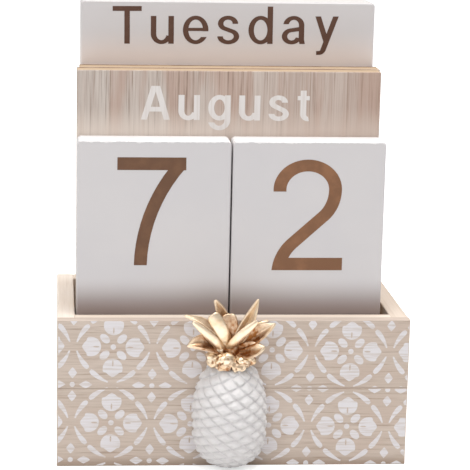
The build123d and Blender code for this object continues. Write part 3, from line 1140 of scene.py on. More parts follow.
@dataclass
class PlatePrint:
    """One word or number on one face of a plate, upright or turned over at the plate's other end."""

    node: str
    word: str
    lettering: Lettering
    face: Face = Face.FRONT
    turned: bool = False
    drop: float = 20.0  # from the plate's nearer end to the letters' foot line, in millimetres
    shift: float = 0.0  # to the right, in millimetres
    tilt: float = 0.0  # in degrees

    def build(self) -> Object:
        """Models the print and lays it on its face.

        Returns:
            The print, in place, in millimetres.
        """
        low, high = box_of(self.node)
        middle = (low + high) / 2
        end = "lower" if self.turned else "upper"
        piece = self.lettering.set_word(f"{self.node}_{self.face.name.lower()}_{end}_{self.word}", self.word)
        on_face = Vector((self.shift, high.z - middle.z - self.drop, high.y - middle.y))
        lay = Matrix.Rotation(radians(self.tilt), 4, "Z")
        for step in (
            Matrix.Translation(on_face),
            Matrix.Rotation(pi if self.turned else 0.0, 4, "Z"),
            Matrix.Rotation(pi / 2, 4, "X"),
            Matrix.Rotation(self.face.value, 4, "Z"),
            Matrix.Translation(middle),
        ):
            lay = step @ lay
        piece.data.transform(lay)
        return piece


@dataclass(frozen=True)
class PlateSet:
    """The plates of one kind, with the words on them."""

    slot: str
    lettering: Lettering
    drop: float  # from a plate's nearer end to the letters' foot line, in millimetres
    words: dict[str, tuple[str, str, str, str]]  # at the front's top and foot, then at the back's

    def prints(self) -> list[PlatePrint]:
        """The words at both ends of both faces of each plate."""
        ends = [(face, turned) for face in Face for turned in (False, True)]
        return [
            PlatePrint(node, word, self.lettering, face, turned, self.drop)
            for node, words in self.words.items()
            for word, (face, turned) in zip(words, ends)
            if word
        ]


NUMBERS = PlateSet("number_paint", NUMBER_LETTERING, 51.95, {
    "number_plate_left": ("7", "", "0", ""),
    "number_plate_right": ("2", "", "5", ""),
    "number_plate_left_spare": ("1", "", "8", ""),
    "number_plate_right_spare": ("3", "", "6", ""),
})
MONTHS = PlateSet("plywood", MONTH_LETTERING, 19.65, {
    "month_plate_front": ("August", "September", "July", "October"),
    "month_plate_middle": ("January", "February", "March", "April"),
    "month_plate_rear": ("May", "June", "November", "December"),
})
WEEKDAYS = PlateSet("weekday_paint", WEEKDAY_LETTERING, 17.05, {
    "weekday_plate_front": ("Tuesday", "Monday", "Wednesday", "Thursday"),
    "weekday_plate_rear": ("Friday", "Saturday", "Sunday", ""),
})


class Plates:
    """The loose plates of the calendar, with their paint, veneer and prints."""

    def build(self) -> None:
        """Dresses the plates and adds their prints."""
        for plates, coat in ((NUMBERS, NUMBER_PAINT.build()), (WEEKDAYS, WEEKDAY_PAINT.build())):
            for node in plates.words:
                dress_node(node, coat)
        for node in MONTHS.words:
            dress_node(node, MONTH_VENEER.fitted(node).build())
        numbers, months, weekdays = (plates.prints() for plates in (NUMBERS, MONTHS, WEEKDAYS))
        numbers[0].shift, numbers[0].drop = -1.0, NUMBERS.drop - 2.0
        months[0].shift, months[0].tilt = -1.4, -0.1
        weekdays[0].shift, weekdays[0].tilt = -0.85, 0.4
        for prints, finish, slot in (
            ([item for item in numbers if "left" in item.node], BROWN_INK, NUMBERS.slot),
            ([item for item in numbers if "right" in item.node], TAN_INK, NUMBERS.slot),
            (months, MONTH_INK, MONTHS.slot),
            (weekdays, UMBER_INK, WEEKDAYS.slot),
        ):
            ink = finish.build()
            for item in prints:
                settle(item.build(), f"{item.node}_body", ink)


def dress_node(node: str, material: Material) -> None:
    """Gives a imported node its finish.

    Args:
        node: The node's name.
        material: Its finish.
    """
    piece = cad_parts[node]
    if not piece.material_slots:
        piece.data.materials.append(material)
    for slot in piece.material_slots:
        slot.link = "OBJECT"
        slot.material = material
    LOG.info("%s dressed in %s", node, material.name)


# ==== tile pattern
@dataclass
class TilePattern:
    """A traditional tile pattern, painted over both front slats: flowers in rings, with stars between."""

    pitch_x: float = 31.5
    pitch_z: float = 31.1
    columns: tuple[int, int] = (-3, 3)
    rows: tuple[int, int] = (-2, 2)
    star_x: float = -1.05  # the middle star, from the middle of the front
    star_z: float = 32.6
    turn: float = -1.2  # degrees, as the print lies on the boards
    relief: float = 0.05
    margin: float = 0.35  # bare edge of each slat, where its corner is rounded
    ring_near: float = 13.1  # radius of the ring at its diagonals
    ring_far: float = 14.85  # and beside the next ring
    leaf_steps: int = 12
    leaf_thin: float = 0.6
    leaf_blunt: float = 2.1
    leaf_swell: float = 1.2  # how fast it widens, and the power of that rise
    leaf_power: float = 1.3
    leaf_end: float = 0.8  # the share of a leaf at which its blunt end begins
    leaf_closing: float = 0.75  # how far that end closes
    leaf_span: Point2 = (6.9, 42.4)  # degrees from the ring's axis to its diagonal
    petal_root: float = 4.8
    petal_middle: float = 8.7
    petal_half: float = 3.95
    petal_rim: tuple[Point2, ...] = (  # one half of a petal's outer end, from its tip to its side lobe
        (12.3, 0.0), (12.15, 0.5), (11.85, 1.0), (11.5, 1.5), (11.1, 1.95), (10.75, 2.35),
        (10.5, 2.7), (10.45, 3.1), (10.3, 3.55), (9.85, 3.9),
    )
    slot_middle: float = 6.7
    slot_half: Point2 = (1.25, 0.3)  # along the petal and across it
    drop_offset: float = 4.75
    drop_half: Point2 = (2.3, 1.5)
    dot_radius: float = 1.1
    star_dot: float = 0.95  # radius of the star's dot, as a share of the flower's
    star_offset: Point2 = (5.3, 4.75)  # sideways, and up and down
    star_beside: Point2 = (2.6, 1.55)  # half sizes of its diamonds beside the dot
    star_above: Point2 = (1.75, 2.25)  # and above and below it
    star_power: float = 1.15
    points: int = 40
    made: list[Object] = field(default_factory=list)

    def ring_leaf(self, quarter: int, mirrored: bool) -> None:
        """Adds one tapered leaf of a ring.

        Args:
            quarter: The axis that its thin end lies beside, in quarter turns.
            mirrored: True for the leaf on the axis's clockwise side.
        """
        start, end = self.leaf_span
        right, left = [], []
        for step in range(self.leaf_steps + 1):
            share = step / self.leaf_steps
            bearing = start + (end - start) * share
            radius = self.ring_far - (self.ring_far - self.ring_near) * sin(radians(2 * bearing))
            swell = sin(pi / 2 * min(1.0, share * self.leaf_swell)) ** self.leaf_power
            past_end = max(0.0, (share - self.leaf_end) / (1 - self.leaf_end))
            blunting = (1 - self.leaf_closing * past_end**2) ** 0.5
            width = (self.leaf_thin + (self.leaf_blunt - self.leaf_thin) * swell) * blunting
            angle = radians(90 * quarter + (-bearing if mirrored else bearing))
            outward = Vector((cos(angle), sin(angle), 0))
            rim_pair = (outward * (radius + width / 2), outward * (radius - width / 2))
            outer, inner = rim_pair[::-1] if mirrored else rim_pair
            right.append(outer)
            left.append(inner)
        self.made.append(strip(right, left))

    def blob(self, x: float, y: float, half: Point2, turn: float = 0.0, power: float = 2.0) -> None:
        """Adds a flat rounded shape: an oval at power 2, and nearly a diamond at power 1.

        Args:
            x: Its middle.
            y: Its middle.
            half: Its half width and half height.
            turn: How far it is turned, in degrees.
            power: The power of the superellipse.
        """
        piece = Bench.add(bpy.ops.mesh.primitive_circle_add, vertices=self.points, fill_type="NGON")
        turned = Matrix.Rotation(radians(turn), 3, "Z")
        places = []
        for index in range(self.points):
            angle = 2 * pi * index / self.points
            reaches = zip((cos(angle), sin(angle)), half)
            side, rise = (copysign(abs(part) ** (2 / power), part) * reach for part, reach in reaches)
            places.append(turned @ Vector((side, rise, 0)) + Vector((x, y, 0)))
        Bench.place_points(piece, places)
        self.made.append(piece)

    def petal(self, quarter: int) -> None:
        """Adds one petal, with three lobes at its end and a slot near its root.

        Args:
            quarter: The way that it points, in quarter turns.
        """
        circle = {"vertices": self.points, "fill_type": "NOTHING"}
        rings = [Bench.add(bpy.ops.mesh.primitive_circle_add, **circle) for _ in range(2)]
        turned = Matrix.Rotation(radians(90 * quarter), 3, "Z")
        outline, hole = [], []
        for index in range(self.points):
            angle = 2 * pi * index / self.points
            along, side = cos(angle), sin(angle)
            step = min(index, self.points - index)
            if step < len(self.petal_rim):
                out, across = self.petal_rim[step]
                across = copysign(across, side)
            else:
                out = self.petal_middle + (self.petal_middle - self.petal_root) * along
                across = self.petal_half * side
            outline.append(turned @ Vector((out, across, 0)))
            long, wide = self.slot_half
            hole.append(turned @ Vector((self.slot_middle + long * along, wide * side, 0)))
        for ring, places in zip(rings, (outline, hole)):
            Bench.place_points(ring, places)
        piece = Bench.join("petal", rings)
        with Bench.editing(piece, "EDGE"):
            bpy.ops.mesh.bridge_edge_loops()
        self.made.append(piece)

    def tile(self) -> Object:
        """Models one ring with its flower and the star at its upper right.

        Returns:
            The tile, as a thin slab about the ring's middle, in millimetres.
        """
        for quarter in range(4):
            self.ring_leaf(quarter, False)
            self.ring_leaf(quarter, True)
            self.petal(quarter)
            diagonal = 45 + 90 * quarter
            angle = radians(diagonal)
            x, y = self.drop_offset * cos(angle), self.drop_offset * sin(angle)
            self.blob(x, y, self.drop_half, diagonal)
        self.blob(0, 0, (self.dot_radius, self.dot_radius))
        x, y = self.pitch_x / 2, self.pitch_z / 2
        star_radius = self.dot_radius * self.star_dot
        self.blob(x, y, (star_radius, star_radius))
        aside, above = self.star_offset
        for side in (-1, 1):
            self.blob(x, y + side * above, self.star_above, power=self.star_power)
            self.blob(x + side * aside, y, self.star_beside, power=self.star_power)
        for piece in self.made:
            Bench.extrude(piece, self.relief)
        return Bench.join("tile", self.made)

    def lay_tiles(self, tile: Object) -> list[Object]:
        """Copies the tile to each of its places.

        Args:
            tile: The tile to copy.

        Returns:
            The copies, lying flat, in millimetres from the middle of the front's foot.
        """
        turn = Matrix.Rotation(radians(self.turn), 4, "Z")
        middle = Matrix.Translation((self.star_x, self.star_z, 0)) @ turn
        copies = []
        for column in range(*self.columns):
            for row in range(*self.rows):
                copy = tile.copy()
                copy.data = tile.data.copy()
                bpy.context.scene.collection.objects.link(copy)
                place = Vector(((column + 0.5) * self.pitch_x, (row + 0.5) * self.pitch_z, 0))
                copy.data.transform(middle @ Matrix.Translation(place))
                copies.append(copy)
        return copies

    def build(self) -> None:
        """Dresses both slats and paints the pattern over them."""
        wood, paint = FRONT_WOOD.build(), WHITE_INK.build()
        tile = self.tile()
        stand = Matrix.Rotation(pi / 2, 4, "X")
        for node in ("front_slat_upper", "front_slat_lower"):
            dress_node(node, wood)
            low, high = box_of(node)
            piece = Bench.join(node.replace("slat", "pattern"), self.lay_tiles(tile))
            piece.data.transform(Matrix.Translation((0, low.y, 0)) @ stand)
            for corner, side in ((low, -1), (high, 1)):
                inset = Vector((side, 0, side)) * self.margin
                for outwards in (Vector((side, 0, 0)), Vector((0, 0, side))):
                    Bench.cut(piece, corner - inset, outwards, threshold=1e-7)
            settle(piece, TRAY_BODY, paint)
        bpy.data.objects.remove(tile)


# ==== pineapple
def store_painted_shade(piece: Object, shares: Sequence[float]) -> None:
    """Stores how much painted shade each vertex of a cast piece gets, 0 for none."""
    recess = piece.data.attributes.new(PAINTED_SHADE, "FLOAT", "POINT")
    recess.data.foreach_set("value", shares)


def clamp(value: float) -> float:
    """The value, or 0 or 1 where it is past them."""
    return min(1.0, max(0.0, value))


LEAF_WIDEST = 0.42  # the share of a leaf's length at which it is widest
LEAF_END = 0.9  # and at which its tip starts to round off
LEAF_ROUNDING = 0.45  # how much the tip loses by that
BROWN_FACING = 1.6  # how fast the painted brown shade comes in where a leaf's skin turns to the hollow's side
BROWN_FADE = 2.2  # and how fast it goes along the leaf
CAST_SHARPEST = 60  # degrees; sharper edges of a casting stay sharp
LUMP_STEPS = {"segments": 40, "ring_count": 20}


def ease(share: float) -> float:
    """A smooth rise from 0 to 1."""
    return share * share * (3 - 2 * share)


@dataclass(frozen=True)
class Leaf:
    """One cast leaf or bract; places are (side, back, rise) from the crown's foot, in millimetres."""

    root: Place
    bend: Place
    tip: Place
    width: float
    hollow: Place  # the way that its hollow faces
    cup: float = 0.55  # how far its rims rise, as a share of its half width
    fold: float = 1.6  # power of the hollow's section: 1 is a sharp fold
    blunt: float = 0.06  # width of its tip, as a share of its width
    foot_share: float = 0.62  # width of its root, likewise
    thickness: float = 1.0
    brown: float = 0.0  # how much painted brown shade its hollow gets at the root
    brown_reach: float = 1.2  # the share of its length at which the painted shade ends
    steps: tuple[int, int] = (14, 8)  # along it and across it

    def build(self, foot: Vector) -> Object:
        """Models the leaf.

        Args:
            foot: The middle of the crown's foot.

        Returns:
            The leaf, in millimetres.
        """
        along, across = self.steps
        steps = {"x_subdivisions": along, "y_subdivisions": across}
        piece = Bench.add(bpy.ops.mesh.primitive_grid_add, size=1, **steps)
        root, bend, tip = (foot + Vector(place) for place in (self.root, self.bend, self.tip))
        hollow = Vector(self.hollow).normalized()
        places = []
        for column in range(across + 1):
            side = 2 * column / across - 1
            for step in range(along + 1):
                share = step / along
                first, second = root.lerp(bend, share), bend.lerp(tip, share)
                ahead = (second - first).normalized()
                sideways = ahead.cross(hollow).normalized()
                up = sideways.cross(ahead).normalized()
                half = self.width / 2 * self.taper(share)
                lift = self.cup * half * (abs(side) ** self.fold)
                places.append(first.lerp(second, share) + sideways * (-side * half) + up * lift)
        Bench.place_points(piece, places)
        Bench.finish_modifier(piece, "SOLIDIFY", thickness=self.thickness, offset=0.0)
        Bench.finish_modifier(piece, "SUBSURF", levels=2, render_levels=2)
        # painted shade: brown on the hollow's side, strongest at the root
        length = tip - root
        shares = []
        for vertex in piece.data.vertices:
            share = (vertex.co - root).dot(length) / length.length_squared
            facing = clamp(BROWN_FACING * vertex.normal.dot(hollow))
            shares.append(self.brown * facing * clamp(BROWN_FADE * (self.brown_reach - share)))
        store_painted_shade(piece, shares)
        Bench.smooth(piece, CAST_SHARPEST)
        return piece

    def taper(self, share: float) -> float:
        """The leaf's width at a share of its length, as a share of its widest width."""
        swell = self.foot_share + (1 - self.foot_share) * sin(pi * min(share / LEAF_WIDEST, 1.0) / 2)
        point = max(0.0, (share - LEAF_WIDEST) / (1 - LEAF_WIDEST))
        rounding = max(0.0, (share - LEAF_END) / (1 - LEAF_END))
        return swell * (1 - (1 - self.blunt) * point**2) * (1 - LEAF_ROUNDING * rounding**2)


@dataclass(frozen=True)
class Lump:
    """A rounded lump of the casting; its place is (side, back, rise) from the crown's foot."""

    place: Place
    half: Place  # half lengths along X, Y and Z, in millimetres
    # how much painted brown shade it gets
    brown: float = 0.0

    def build(self, foot: Vector) -> Object:
        """Models the lump.

        Args:
            foot: The middle of the crown's foot.

        Returns:
            The lump, in millimetres.
        """
        piece = Bench.add(bpy.ops.mesh.primitive_uv_sphere_add, **LUMP_STEPS)
        place = Matrix.Translation(foot + Vector(self.place))
        piece.data.transform(place @ Matrix.Diagonal((*self.half, 1.0)))
        store_painted_shade(piece, [self.brown] * len(piece.data.vertices))
        Bench.smooth(piece, CAST_SHARPEST)
        return piece


CROWN_LEAVES = (
    Leaf((-0.5, -2.0, 0.8), (-2.8, -2.2, 11.0), (-6.9, -2.6, 19.4), 5.2, (0.45, -1.0, 0.1),
         cup=0.9, fold=1.2, blunt=0.22, brown=0.4),
    Leaf((1.0, -3.2, 0.8), (5.0, -4.4, 8.6), (10.3, -4.0, 20.1), 5.4, (0.1, -1.0, 0.15),
         cup=0.9, fold=1.1, brown=0.15),
    Leaf((-0.4, -3.2, 1.0), (-0.8, -5.4, 7.5), (-1.4, -4.4, 14.3), 6.8, (0.0, -1.0, 0.1),
         cup=0.35, fold=2.0, blunt=0.8, foot_share=0.8, brown=0.8),
    Leaf((-1.6, -4.4, 0.6), (-3.6, -9.4, 7.6), (-8.3, -7.8, 15.0), 5.5, (-0.1, 1.0, 0.1),
         cup=0.3, fold=2.2, blunt=0.95, foot_share=0.6),
    Leaf((-1.4, -5.4, 0.2), (2.2, -11.0, 6.6), (9.5, -9.4, 12.6), 3.8, (-0.3, 1.0, -0.2),
         cup=0.42, fold=2.0, blunt=0.3, foot_share=0.7),
    Leaf((-2.0, -3.8, 1.2), (-8.6, -5.4, 10.2), (-18.9, -5.0, 13.7), 5.4, (0.4, -0.5, 1.0),
         cup=0.6, fold=1.5, blunt=0.1, brown=0.2),
    Leaf((-3.6, -5.2, -0.8), (-7.0, -11.0, 5.2), (-16.0, -9.4, 12.4), 3.5, (-0.2, 1.0, 0.3),
         cup=0.42, fold=2.0, blunt=0.25, foot_share=0.85),
    Leaf((3.0, -4.2, 0.6), (8.8, -7.4, 5.6), (16.9, -7.0, 11.0), 7.4, (-0.4, -1.0, 0.65),
         cup=0.6, blunt=0.05, brown=1.0, brown_reach=0.95),
    Leaf((-4.4, -4.6, -0.6), (-10.6, -8.4, 4.8), (-17.9, -9.0, 2.4), 7.6, (0.15, -0.95, 0.7),
         cup=0.6, blunt=0.05, brown=0.85, brown_reach=1.05),
    Leaf((2.6, -5.0, -0.6), (8.2, -9.8, -0.2), (12.4, -10.8, 2.6), 7.0, (-0.4, -0.95, 0.6),
         cup=0.65, blunt=0.05, brown=0.9, brown_reach=0.95),
    Leaf((2.4, -3.4, 1.0), (7.0, -4.0, 8.6), (14.4, -3.6, 11.4), 4.4, (-0.3, 0.4, 1.0),
         cup=0.5, blunt=0.05, brown=0.6),
)
SIDE_BRACTS = (
    Leaf((-3.6, -6.4, -0.6), (-10.2, -8.4, 0.2), (-7.2, -10.0, -5.4), 3.6, (0.2, 1.0, -0.3),
         cup=0.5, fold=1.8, blunt=0.6),
    Leaf((2.4, -7.0, -2.0), (6.4, -10.2, -0.8), (9.4, -6.6, -3.4), 3.8, (0.1, 0.7, -1.0),
         cup=0.4, fold=1.8, blunt=0.4),
    Leaf((-2.6, -7.4, -1.4), (-5.6, -10.8, -0.2), (-5.4, -10.8, -4.6), 3.4, (0.3, 0.6, -1.0),
         cup=0.5, blunt=0.5),
    Leaf((1.6, -7.4, -2.4), (4.4, -11.2, -1.8), (6.6, -10.4, -4.8), 3.4, (0.0, 0.5, -1.0),
         cup=0.5, blunt=0.5),
)
# the first lump, under the bracts, is brown with painted shade
COLLAR_LUMPS = (
    Lump((0.0, -3.0, -4.4), (7.8, 6.2, 3.2), brown=0.9),
    Lump((-1.7, -8.8, -3.2), (2.7, 2.0, 2.5)),
    Lump((-7.4, -8.4, -4.2), (2.0, 1.5, 1.5)),
)
# the core is brown with painted shade, where it shows between the leaves' roots
CROWN_CORE = Lump((0.0, -2.2, -0.5), (4.8, 4.2, 6.0), brown=1.0)


@dataclass
class Pineapple:
    """The cast half pineapple on the front: a white fruit with rhombic scales and a gilded crown."""

    rising_steps: int = 13  # once round, up along the gently rising grooves
    falling_steps: int = 7  # and down along the steep ones
    rising_turn: float = 0.055
    rising_lift: float = 0.032
    crowding: float = 1.25  # above 1, the scales crowd together towards the foot
    relief: float = 0.85  # depth of the grooves
    uneven: float = 0.35  # how much that depth varies
    uneven_cells: Point2 = (4.0, 9.0)  # how often it does so, round the fruit and up it
    wander: float = 0.08  # how far the grooves stray, in scales
    wander_cells: float = 5.0
    slender: float = 2.6  # the fruit's height for that, in radii
    closing: float = 0.02  # the share of its half turn over which it closes at the top
    sharpest: int = 50  # degrees; sharper edges of a scale stay sharp
    steep: float = 0.3  # share of a scale that its steep lower sides take
    gentle: float = 0.4  # and its gentle upper sides
    shaded: float = 0.27  # and the strips of painted shade along its lower sides
    calm_radius: float = 4.0  # radius below which the grooves fade out
    widest: float = 0.5
    top_share: float = 14.4 / 30.2
    foot_power: float = 3.8  # how full the fruit is below its widest place
    shoulder_power: float = 2.2  # and above it
    segments: int = 380
    rings: int = 260
    sunk: float = 0.2  # how far its flat back lies behind the slats' face
    hang_count: int = 6
    hang_spread: float = 80.0  # degrees from the front to the outermost hanging bracts
    hang_root: Point2 = (4.6, -2.6)  # out from the axis and up from the crown's foot
    hang_bend: Point2 = (9.6, -2.0)
    hang_tip: Point2 = (7.8, -5.2)
    hang_front: Point2 = (1.4, -2.6)  # how much further out and up the foremost tip is
    hang_width: Point2 = (6.6, 7.8)  # least and greatest
    crumple_cell: float = 1.9
    crumple_depth: float = 0.55
    crumple_fine: Point2 = (0.4, 2.3)  # strength and fineness of the small dents
    dent_brown: Point2 = (2.2, 0.8)  # how much painted brown shade a dent gets for its depth, and at the most
    seed: int = 7

    def profile(self, share: float) -> float:
        """The fruit's radius at a share of its height, as a share of its widest radius."""
        if share < self.widest:
            return max(0.0, 1 - ((self.widest - share) / self.widest) ** self.foot_power) ** 0.5
        above = (share - self.widest) / (1 - self.widest)
        return (1 - (1 - self.top_share**2) * above**self.shoulder_power) ** 0.5

    def bank(self, share: float) -> float:
        """The height across a scale, from its steep side at 0 to its gentle side at 1."""
        return ease(min(1.0, share / self.steep)) * ease(min(1.0, (1 - share) / self.gentle))

    def in_scale(self, angle: float, share: float) -> Point2:
        """Finds where a place lies in its own scale.

        Args:
            angle: The angle round the fruit, 0 at its front.
            share: The share of the fruit's height.

        Returns:
            How far it is from the scale's two lower sides, as shares of the way across.
        """
        falling_turn = (1 - self.rising_steps * self.rising_turn) / self.falling_steps
        falling_lift = self.rising_steps * self.rising_lift / self.falling_steps
        lift = max(share, 0.0) ** (1 / self.crowding)
        turn = angle / (2 * pi)
        whole = self.rising_turn * falling_lift + self.rising_lift * falling_turn
        place = Vector((sin(angle), cos(angle), share * self.slender)) * self.wander_cells
        stray = noise.noise(place) * self.wander
        rising = (turn * falling_lift + lift * falling_turn) / whole + stray
        falling = (turn * self.rising_lift - lift * self.rising_turn) / whole - stray
        return rising % 1.0, 1 - falling % 1.0

    def build_fruit(self) -> Object:
        """Models the fruit.

        Returns:
            The fruit, in millimetres.
        """
        low, high = box_of("pineapple_fruit")
        radius = (high.x - low.x) / 2
        middle_x, axis_y = (low.x + high.x) / 2, low.y + radius
        sphere = {"segments": self.segments, "ring_count": self.rings}
        piece = Bench.add(bpy.ops.mesh.primitive_uv_sphere_add, **sphere)
        round_it, up_it = self.uneven_cells
        places, painted_shades = [], []
        for vertex in piece.data.vertices:
            across = hypot(vertex.co.x, vertex.co.y)
            polar = atan2(across, -vertex.co.z) / pi
            share = (1 - cos(pi * polar)) / 2 if polar < 0.5 else polar
            angle = atan2(vertex.co.x, -vertex.co.y)
            reach = radius * self.profile(share) * min(1.0, (1.0 - polar) / self.closing)
            depth = 1 + self.uneven * noise.noise(Vector((angle * round_it, share * up_it, 3.0)))
            first, second = self.in_scale(angle, share)
            # painted shade in strips along each scale's two lower sides
            clear = min(1.0, first / self.shaded) * min(1.0, second / self.shaded)
            painted_shades.append(1 - clear)
            groove = self.relief * (1 - self.bank(first) * self.bank(second)) * depth
            reach = max(0.0, reach - groove * min(1.0, reach / self.calm_radius))
            height = low.z + (high.z - low.z) * share
            places.append(Vector((
                middle_x + reach * sin(angle), axis_y - reach * cos(angle), height
            )))
        Bench.place_points(piece, places)
        store_painted_shade(piece, painted_shades)
        self.cut_back(piece)
        with Bench.editing(piece, "FACE"):
            bpy.ops.mesh.remove_doubles(threshold=1e-4)
            bpy.ops.mesh.normals_make_consistent(inside=False)
        piece.name = "pineapple_scales"
        Bench.smooth(piece, self.sharpest)
        return piece

    def slat_face(self) -> float:
        """How far back the slats' front face lies, in millimetres."""
        return box_of("front_slat_upper")[0].y

    def cut_back(self, piece: Object) -> None:
        """Cuts a casting, in millimetres, flat where it is glued to the slats."""
        Bench.cut(piece, Vector((0, self.slat_face() + self.sunk, 0)), Vector((0, 1, 0)))

    def crumple(self, piece: Object) -> None:
        """Makes a casting uneven, as one worked by hand is, and darker with painted shade in its dents.

        Args:
            piece: The casting, in millimetres.
        """
        places, shares = [], [0.0] * len(piece.data.vertices)
        recess = piece.data.attributes[PAINTED_SHADE].data
        recess.foreach_get("value", shares)
        strength, fineness = self.crumple_fine
        browning, brownest = self.dent_brown
        for vertex in piece.data.vertices:
            place = vertex.co / self.crumple_cell
            swell = noise.noise(place) + strength * noise.noise(place * fineness)
            places.append(vertex.co + vertex.normal * (swell * self.crumple_depth))
            # painted shade in the dents
            shares[vertex.index] = max(shares[vertex.index], min(brownest, -browning * swell))
        recess.foreach_set("value", shares)
        Bench.place_points(piece, places)

    def hanging_bracts(self) -> list[Leaf]:
        """Lays out the bracts that hang over the fruit's shoulder, no two quite alike.

        Returns:
            The bracts, from left to right.
        """
        draw = random.Random(self.seed)
        axis = Vector((0.0, -0.9, 0.0))
        (root_out, root_up), (bend_out, bend_up) = self.hang_root, self.hang_bend
        tip_out, tip_up = self.hang_tip
        front_out, front_up = self.hang_front
        bracts = []
        for index in range(self.hang_count):
            turn = self.hang_spread * (2 * index / (self.hang_count - 1) - 1)
            angle = radians(turn) + draw.uniform(-0.1, 0.1)
            outward = Vector((sin(angle), -cos(angle), 0))
            drop = tip_up + front_up * cos(angle) + draw.uniform(-0.3, 0.3)
            root = axis + outward * root_out + Vector((0, 0, root_up))
            bend = axis + outward * bend_out + Vector((0, 0, bend_up + draw.uniform(-0.6, 0.6)))
            tip = axis + outward * (tip_out + front_out * cos(angle)) + Vector((0, 0, drop))
            width = draw.uniform(*self.hang_width)
            shape = (tuple(root), tuple(bend), tuple(tip), width, tuple(outward + Vector((0, 0, 0.7))))
            # each bract's hollow gets some painted brown shade
            bracts.append(Leaf(*shape, cup=0.3, fold=1.5, blunt=0.85, thickness=0.9, brown=0.35))
        return bracts

    def build_collar(self, foot: Vector) -> Object:
        """Models the ring of small curled bracts that hangs over the fruit's shoulder.

        Args:
            foot: The middle of the crown's foot, at the slats' face.

        Returns:
            The collar, in millimetres.
        """
        parts = [part.build(foot) for part in (*COLLAR_LUMPS, *self.hanging_bracts(), *SIDE_BRACTS)]
        piece = Bench.join("pineapple_bracts", parts)
        self.crumple(piece)
        self.cut_back(piece)
        return piece

    def build_crown(self, foot: Vector) -> Object:
        """Models the leaves and the core that carries them.

        Args:
            foot: The middle of the crown's foot, at the slats' face.

        Returns:
            The crown, in millimetres.
        """
        piece = Bench.join("pineapple_leaves", [part.build(foot) for part in (*CROWN_LEAVES, CROWN_CORE)])
        self.cut_back(piece)
        return piece

    def build(self) -> None:
        """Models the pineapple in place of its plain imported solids."""
        gilding = GILDING.build()
        fruit = self.build_fruit()
        settle(fruit, TRAY_BODY, FRUIT_PAINT.build())
        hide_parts("pineapple_fruit")
        fruit_low, fruit_high = box_of("pineapple_fruit")
        collar_top = box_of("pineapple_collar")[1].z
        foot = Vector(((fruit_low.x + fruit_high.x) / 2, self.slat_face(), collar_top))
        collar = self.build_collar(foot)
        settle(collar, TRAY_BODY, gilding)
        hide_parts("pineapple_collar")
        crown = self.build_crown(foot)
        settle(crown, TRAY_BODY, gilding)
        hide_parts("pineapple_crown")


# ==== tray
@dataclass
class Tray:
    """The open wooden box that the plates stand in."""

    cross_boards: tuple[str, ...] = ("tray_back_board", "tray_front_board", "tray_floor")

    def build(self) -> None:
        """Dresses the bare boards, the sides in a lighter and a darker copy of the tray's wood that paint
        light and shade.
        """
        dress_node("tray_left_side", LEFT_WOOD_PAINTED_LIGHTER.build())
        dress_node("tray_right_side", RIGHT_WOOD_PAINTED_DARKER.build())
        across = TRAY_WOOD.build()
        for node in self.cross_boards:
            dress_node(node, across)


# ==== studio
WHITE = (1.0, 1.0, 1.0, 1.0)
FLOOR_GREY = (0.8, 0.8, 0.8, 1.0)


@dataclass(frozen=True)
class Lamp:
    """A square soft lamp."""

    name: str
    place: Place  # in metres
    size: float  # length of its side, in metres
    power: float  # in watts

    def build(self, target: Vector) -> None:
        """Hangs the lamp and points it at a place.

        Args:
            target: What it points at, in metres.
        """
        data = bpy.data.lights.new(self.name, "AREA")
        data.shape = "SQUARE"
        data.size = self.size
        data.energy = self.power
        place = Vector(self.place)
        turned = (target - place).to_track_quat("-Z", "Y").to_matrix().to_4x4()
        Bench.stand(self.name, data, place, turned)


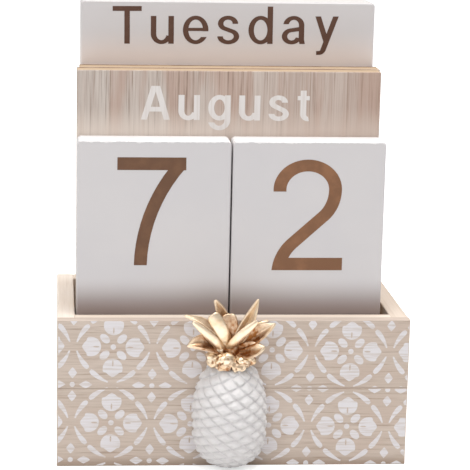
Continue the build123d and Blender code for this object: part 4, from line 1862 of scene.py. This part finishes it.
@dataclass
class Studio:
    """A plain white floor, soft light from above and in front, and the camera."""

    place: Place = (-72.0, -750.9, 244.6)
    yaw: float = 3.984  # degrees to the right of straight ahead
    pitch: float = 11.295  # degrees down
    roll: float = 0.957  # degrees, as the picture turns clockwise
    focal_widths: float = 3.971  # focal length in picture widths
    sensor: float = 36.0
    shift: Point2 = (0.117, -0.0426)
    clip: Point2 = (0.05, 50.0)  # in metres
    floor_size: float = 12.0
    floor_glow: float = 0.55  # what the floor adds to its own shade where it is seen or mirrored
    sky: float = 0.85  # strength of the light from overhead
    horizon: float = 0.22  # and of the light from the horizon
    sky_rise: float = 0.8  # the rise at which the light is as strong as overhead
    target: Place = (0.0, 0.0, 0.08)
    lamps: tuple[Lamp, ...] = (
        Lamp("top_softbox", (0.1, -0.1, 1.3), 0.9, 14.0),
        Lamp("front_left_softbox", (-0.8, -1.1, 0.75), 0.7, 4.0),
    )

    def build_camera(self) -> None:
        """Adds the camera."""
        yaw, pitch, roll = (radians(angle) for angle in (self.yaw, self.pitch, self.roll))
        ahead = Vector((sin(yaw) * cos(pitch), cos(yaw) * cos(pitch), -sin(pitch)))
        right = Vector((cos(yaw), -sin(yaw), 0))
        up = right.cross(ahead)
        turned_right = right * cos(roll) + up * sin(roll)
        turned_up = up * cos(roll) - right * sin(roll)
        data = bpy.data.cameras.new("camera")
        data.sensor_width = self.sensor
        data.lens = self.focal_widths * self.sensor
        data.shift_x, data.shift_y = self.shift
        data.clip_start, data.clip_end = self.clip
        axes = Matrix((turned_right, turned_up, -ahead)).transposed().to_4x4()
        bpy.context.scene.camera = Bench.stand("camera", data, Vector(self.place) * MM, axes)

    def build_floor(self) -> None:
        """Adds the floor, which shows white and keeps the object's shadow."""
        floor = Bench.add(bpy.ops.mesh.primitive_plane_add, size=self.floor_size, location=(0, 0, 0))
        floor.name = "floor"
        shader = Shader("floor_paper")
        inputs = shader.surface.inputs
        inputs["Base Color"].default_value = FLOOR_GREY
        inputs["Roughness"].default_value = 0.9
        inputs["Specular IOR Level"].default_value = 0.0
        inputs["Emission Color"].default_value = WHITE
        path = shader.add("ShaderNodeLightPath").outputs
        seen = shader.combine(path["Is Camera Ray"], path["Is Glossy Ray"], "MAXIMUM")
        seen = shader.combine(seen, path["Is Transmission Ray"], "MAXIMUM")
        shader.join(shader.times(seen, self.floor_glow), inputs["Emission Strength"])
        floor.data.materials.append(shader.material)

    def build_world(self) -> None:
        """Adds the soft light from all round, which is stronger overhead than at the horizon."""
        world = bpy.data.worlds.new("world")
        bpy.context.scene.world = world
        world.use_nodes = True
        tree = world.node_tree
        tree.nodes.clear()
        split = tree.nodes.new("ShaderNodeSeparateXYZ")
        tree.links.new(tree.nodes.new("ShaderNodeTexCoord").outputs["Generated"], split.inputs[0])
        strength = tree.nodes.new("ShaderNodeMapRange")
        set_inputs(strength, {"From Max": self.sky_rise, "To Min": self.horizon, "To Max": self.sky})
        tree.links.new(split.outputs["Z"], strength.inputs["Value"])
        background = tree.nodes.new("ShaderNodeBackground")
        background.inputs["Color"].default_value = WHITE
        tree.links.new(strength.outputs["Result"], background.inputs["Strength"])
        output = tree.nodes.new("ShaderNodeOutputWorld")
        tree.links.new(background.outputs[0], output.inputs["Surface"])

    def build(self) -> None:
        """Sets up the studio."""
        bpy.context.scene.view_settings.view_transform = "Standard"
        self.build_camera()
        self.build_floor()
        self.build_world()
        for lamp in self.lamps:
            lamp.build(Vector(self.target))


def main() -> None:
    """Builds the studio and dresses each part of the calendar in turn."""
    logging.basicConfig(level=logging.INFO, format="%(name)s: %(message)s")
    Studio().build()
    Tray().build()
    TilePattern().build()
    Plates().build()
    Pineapple().build()


if __name__ == "__main__":
    main()
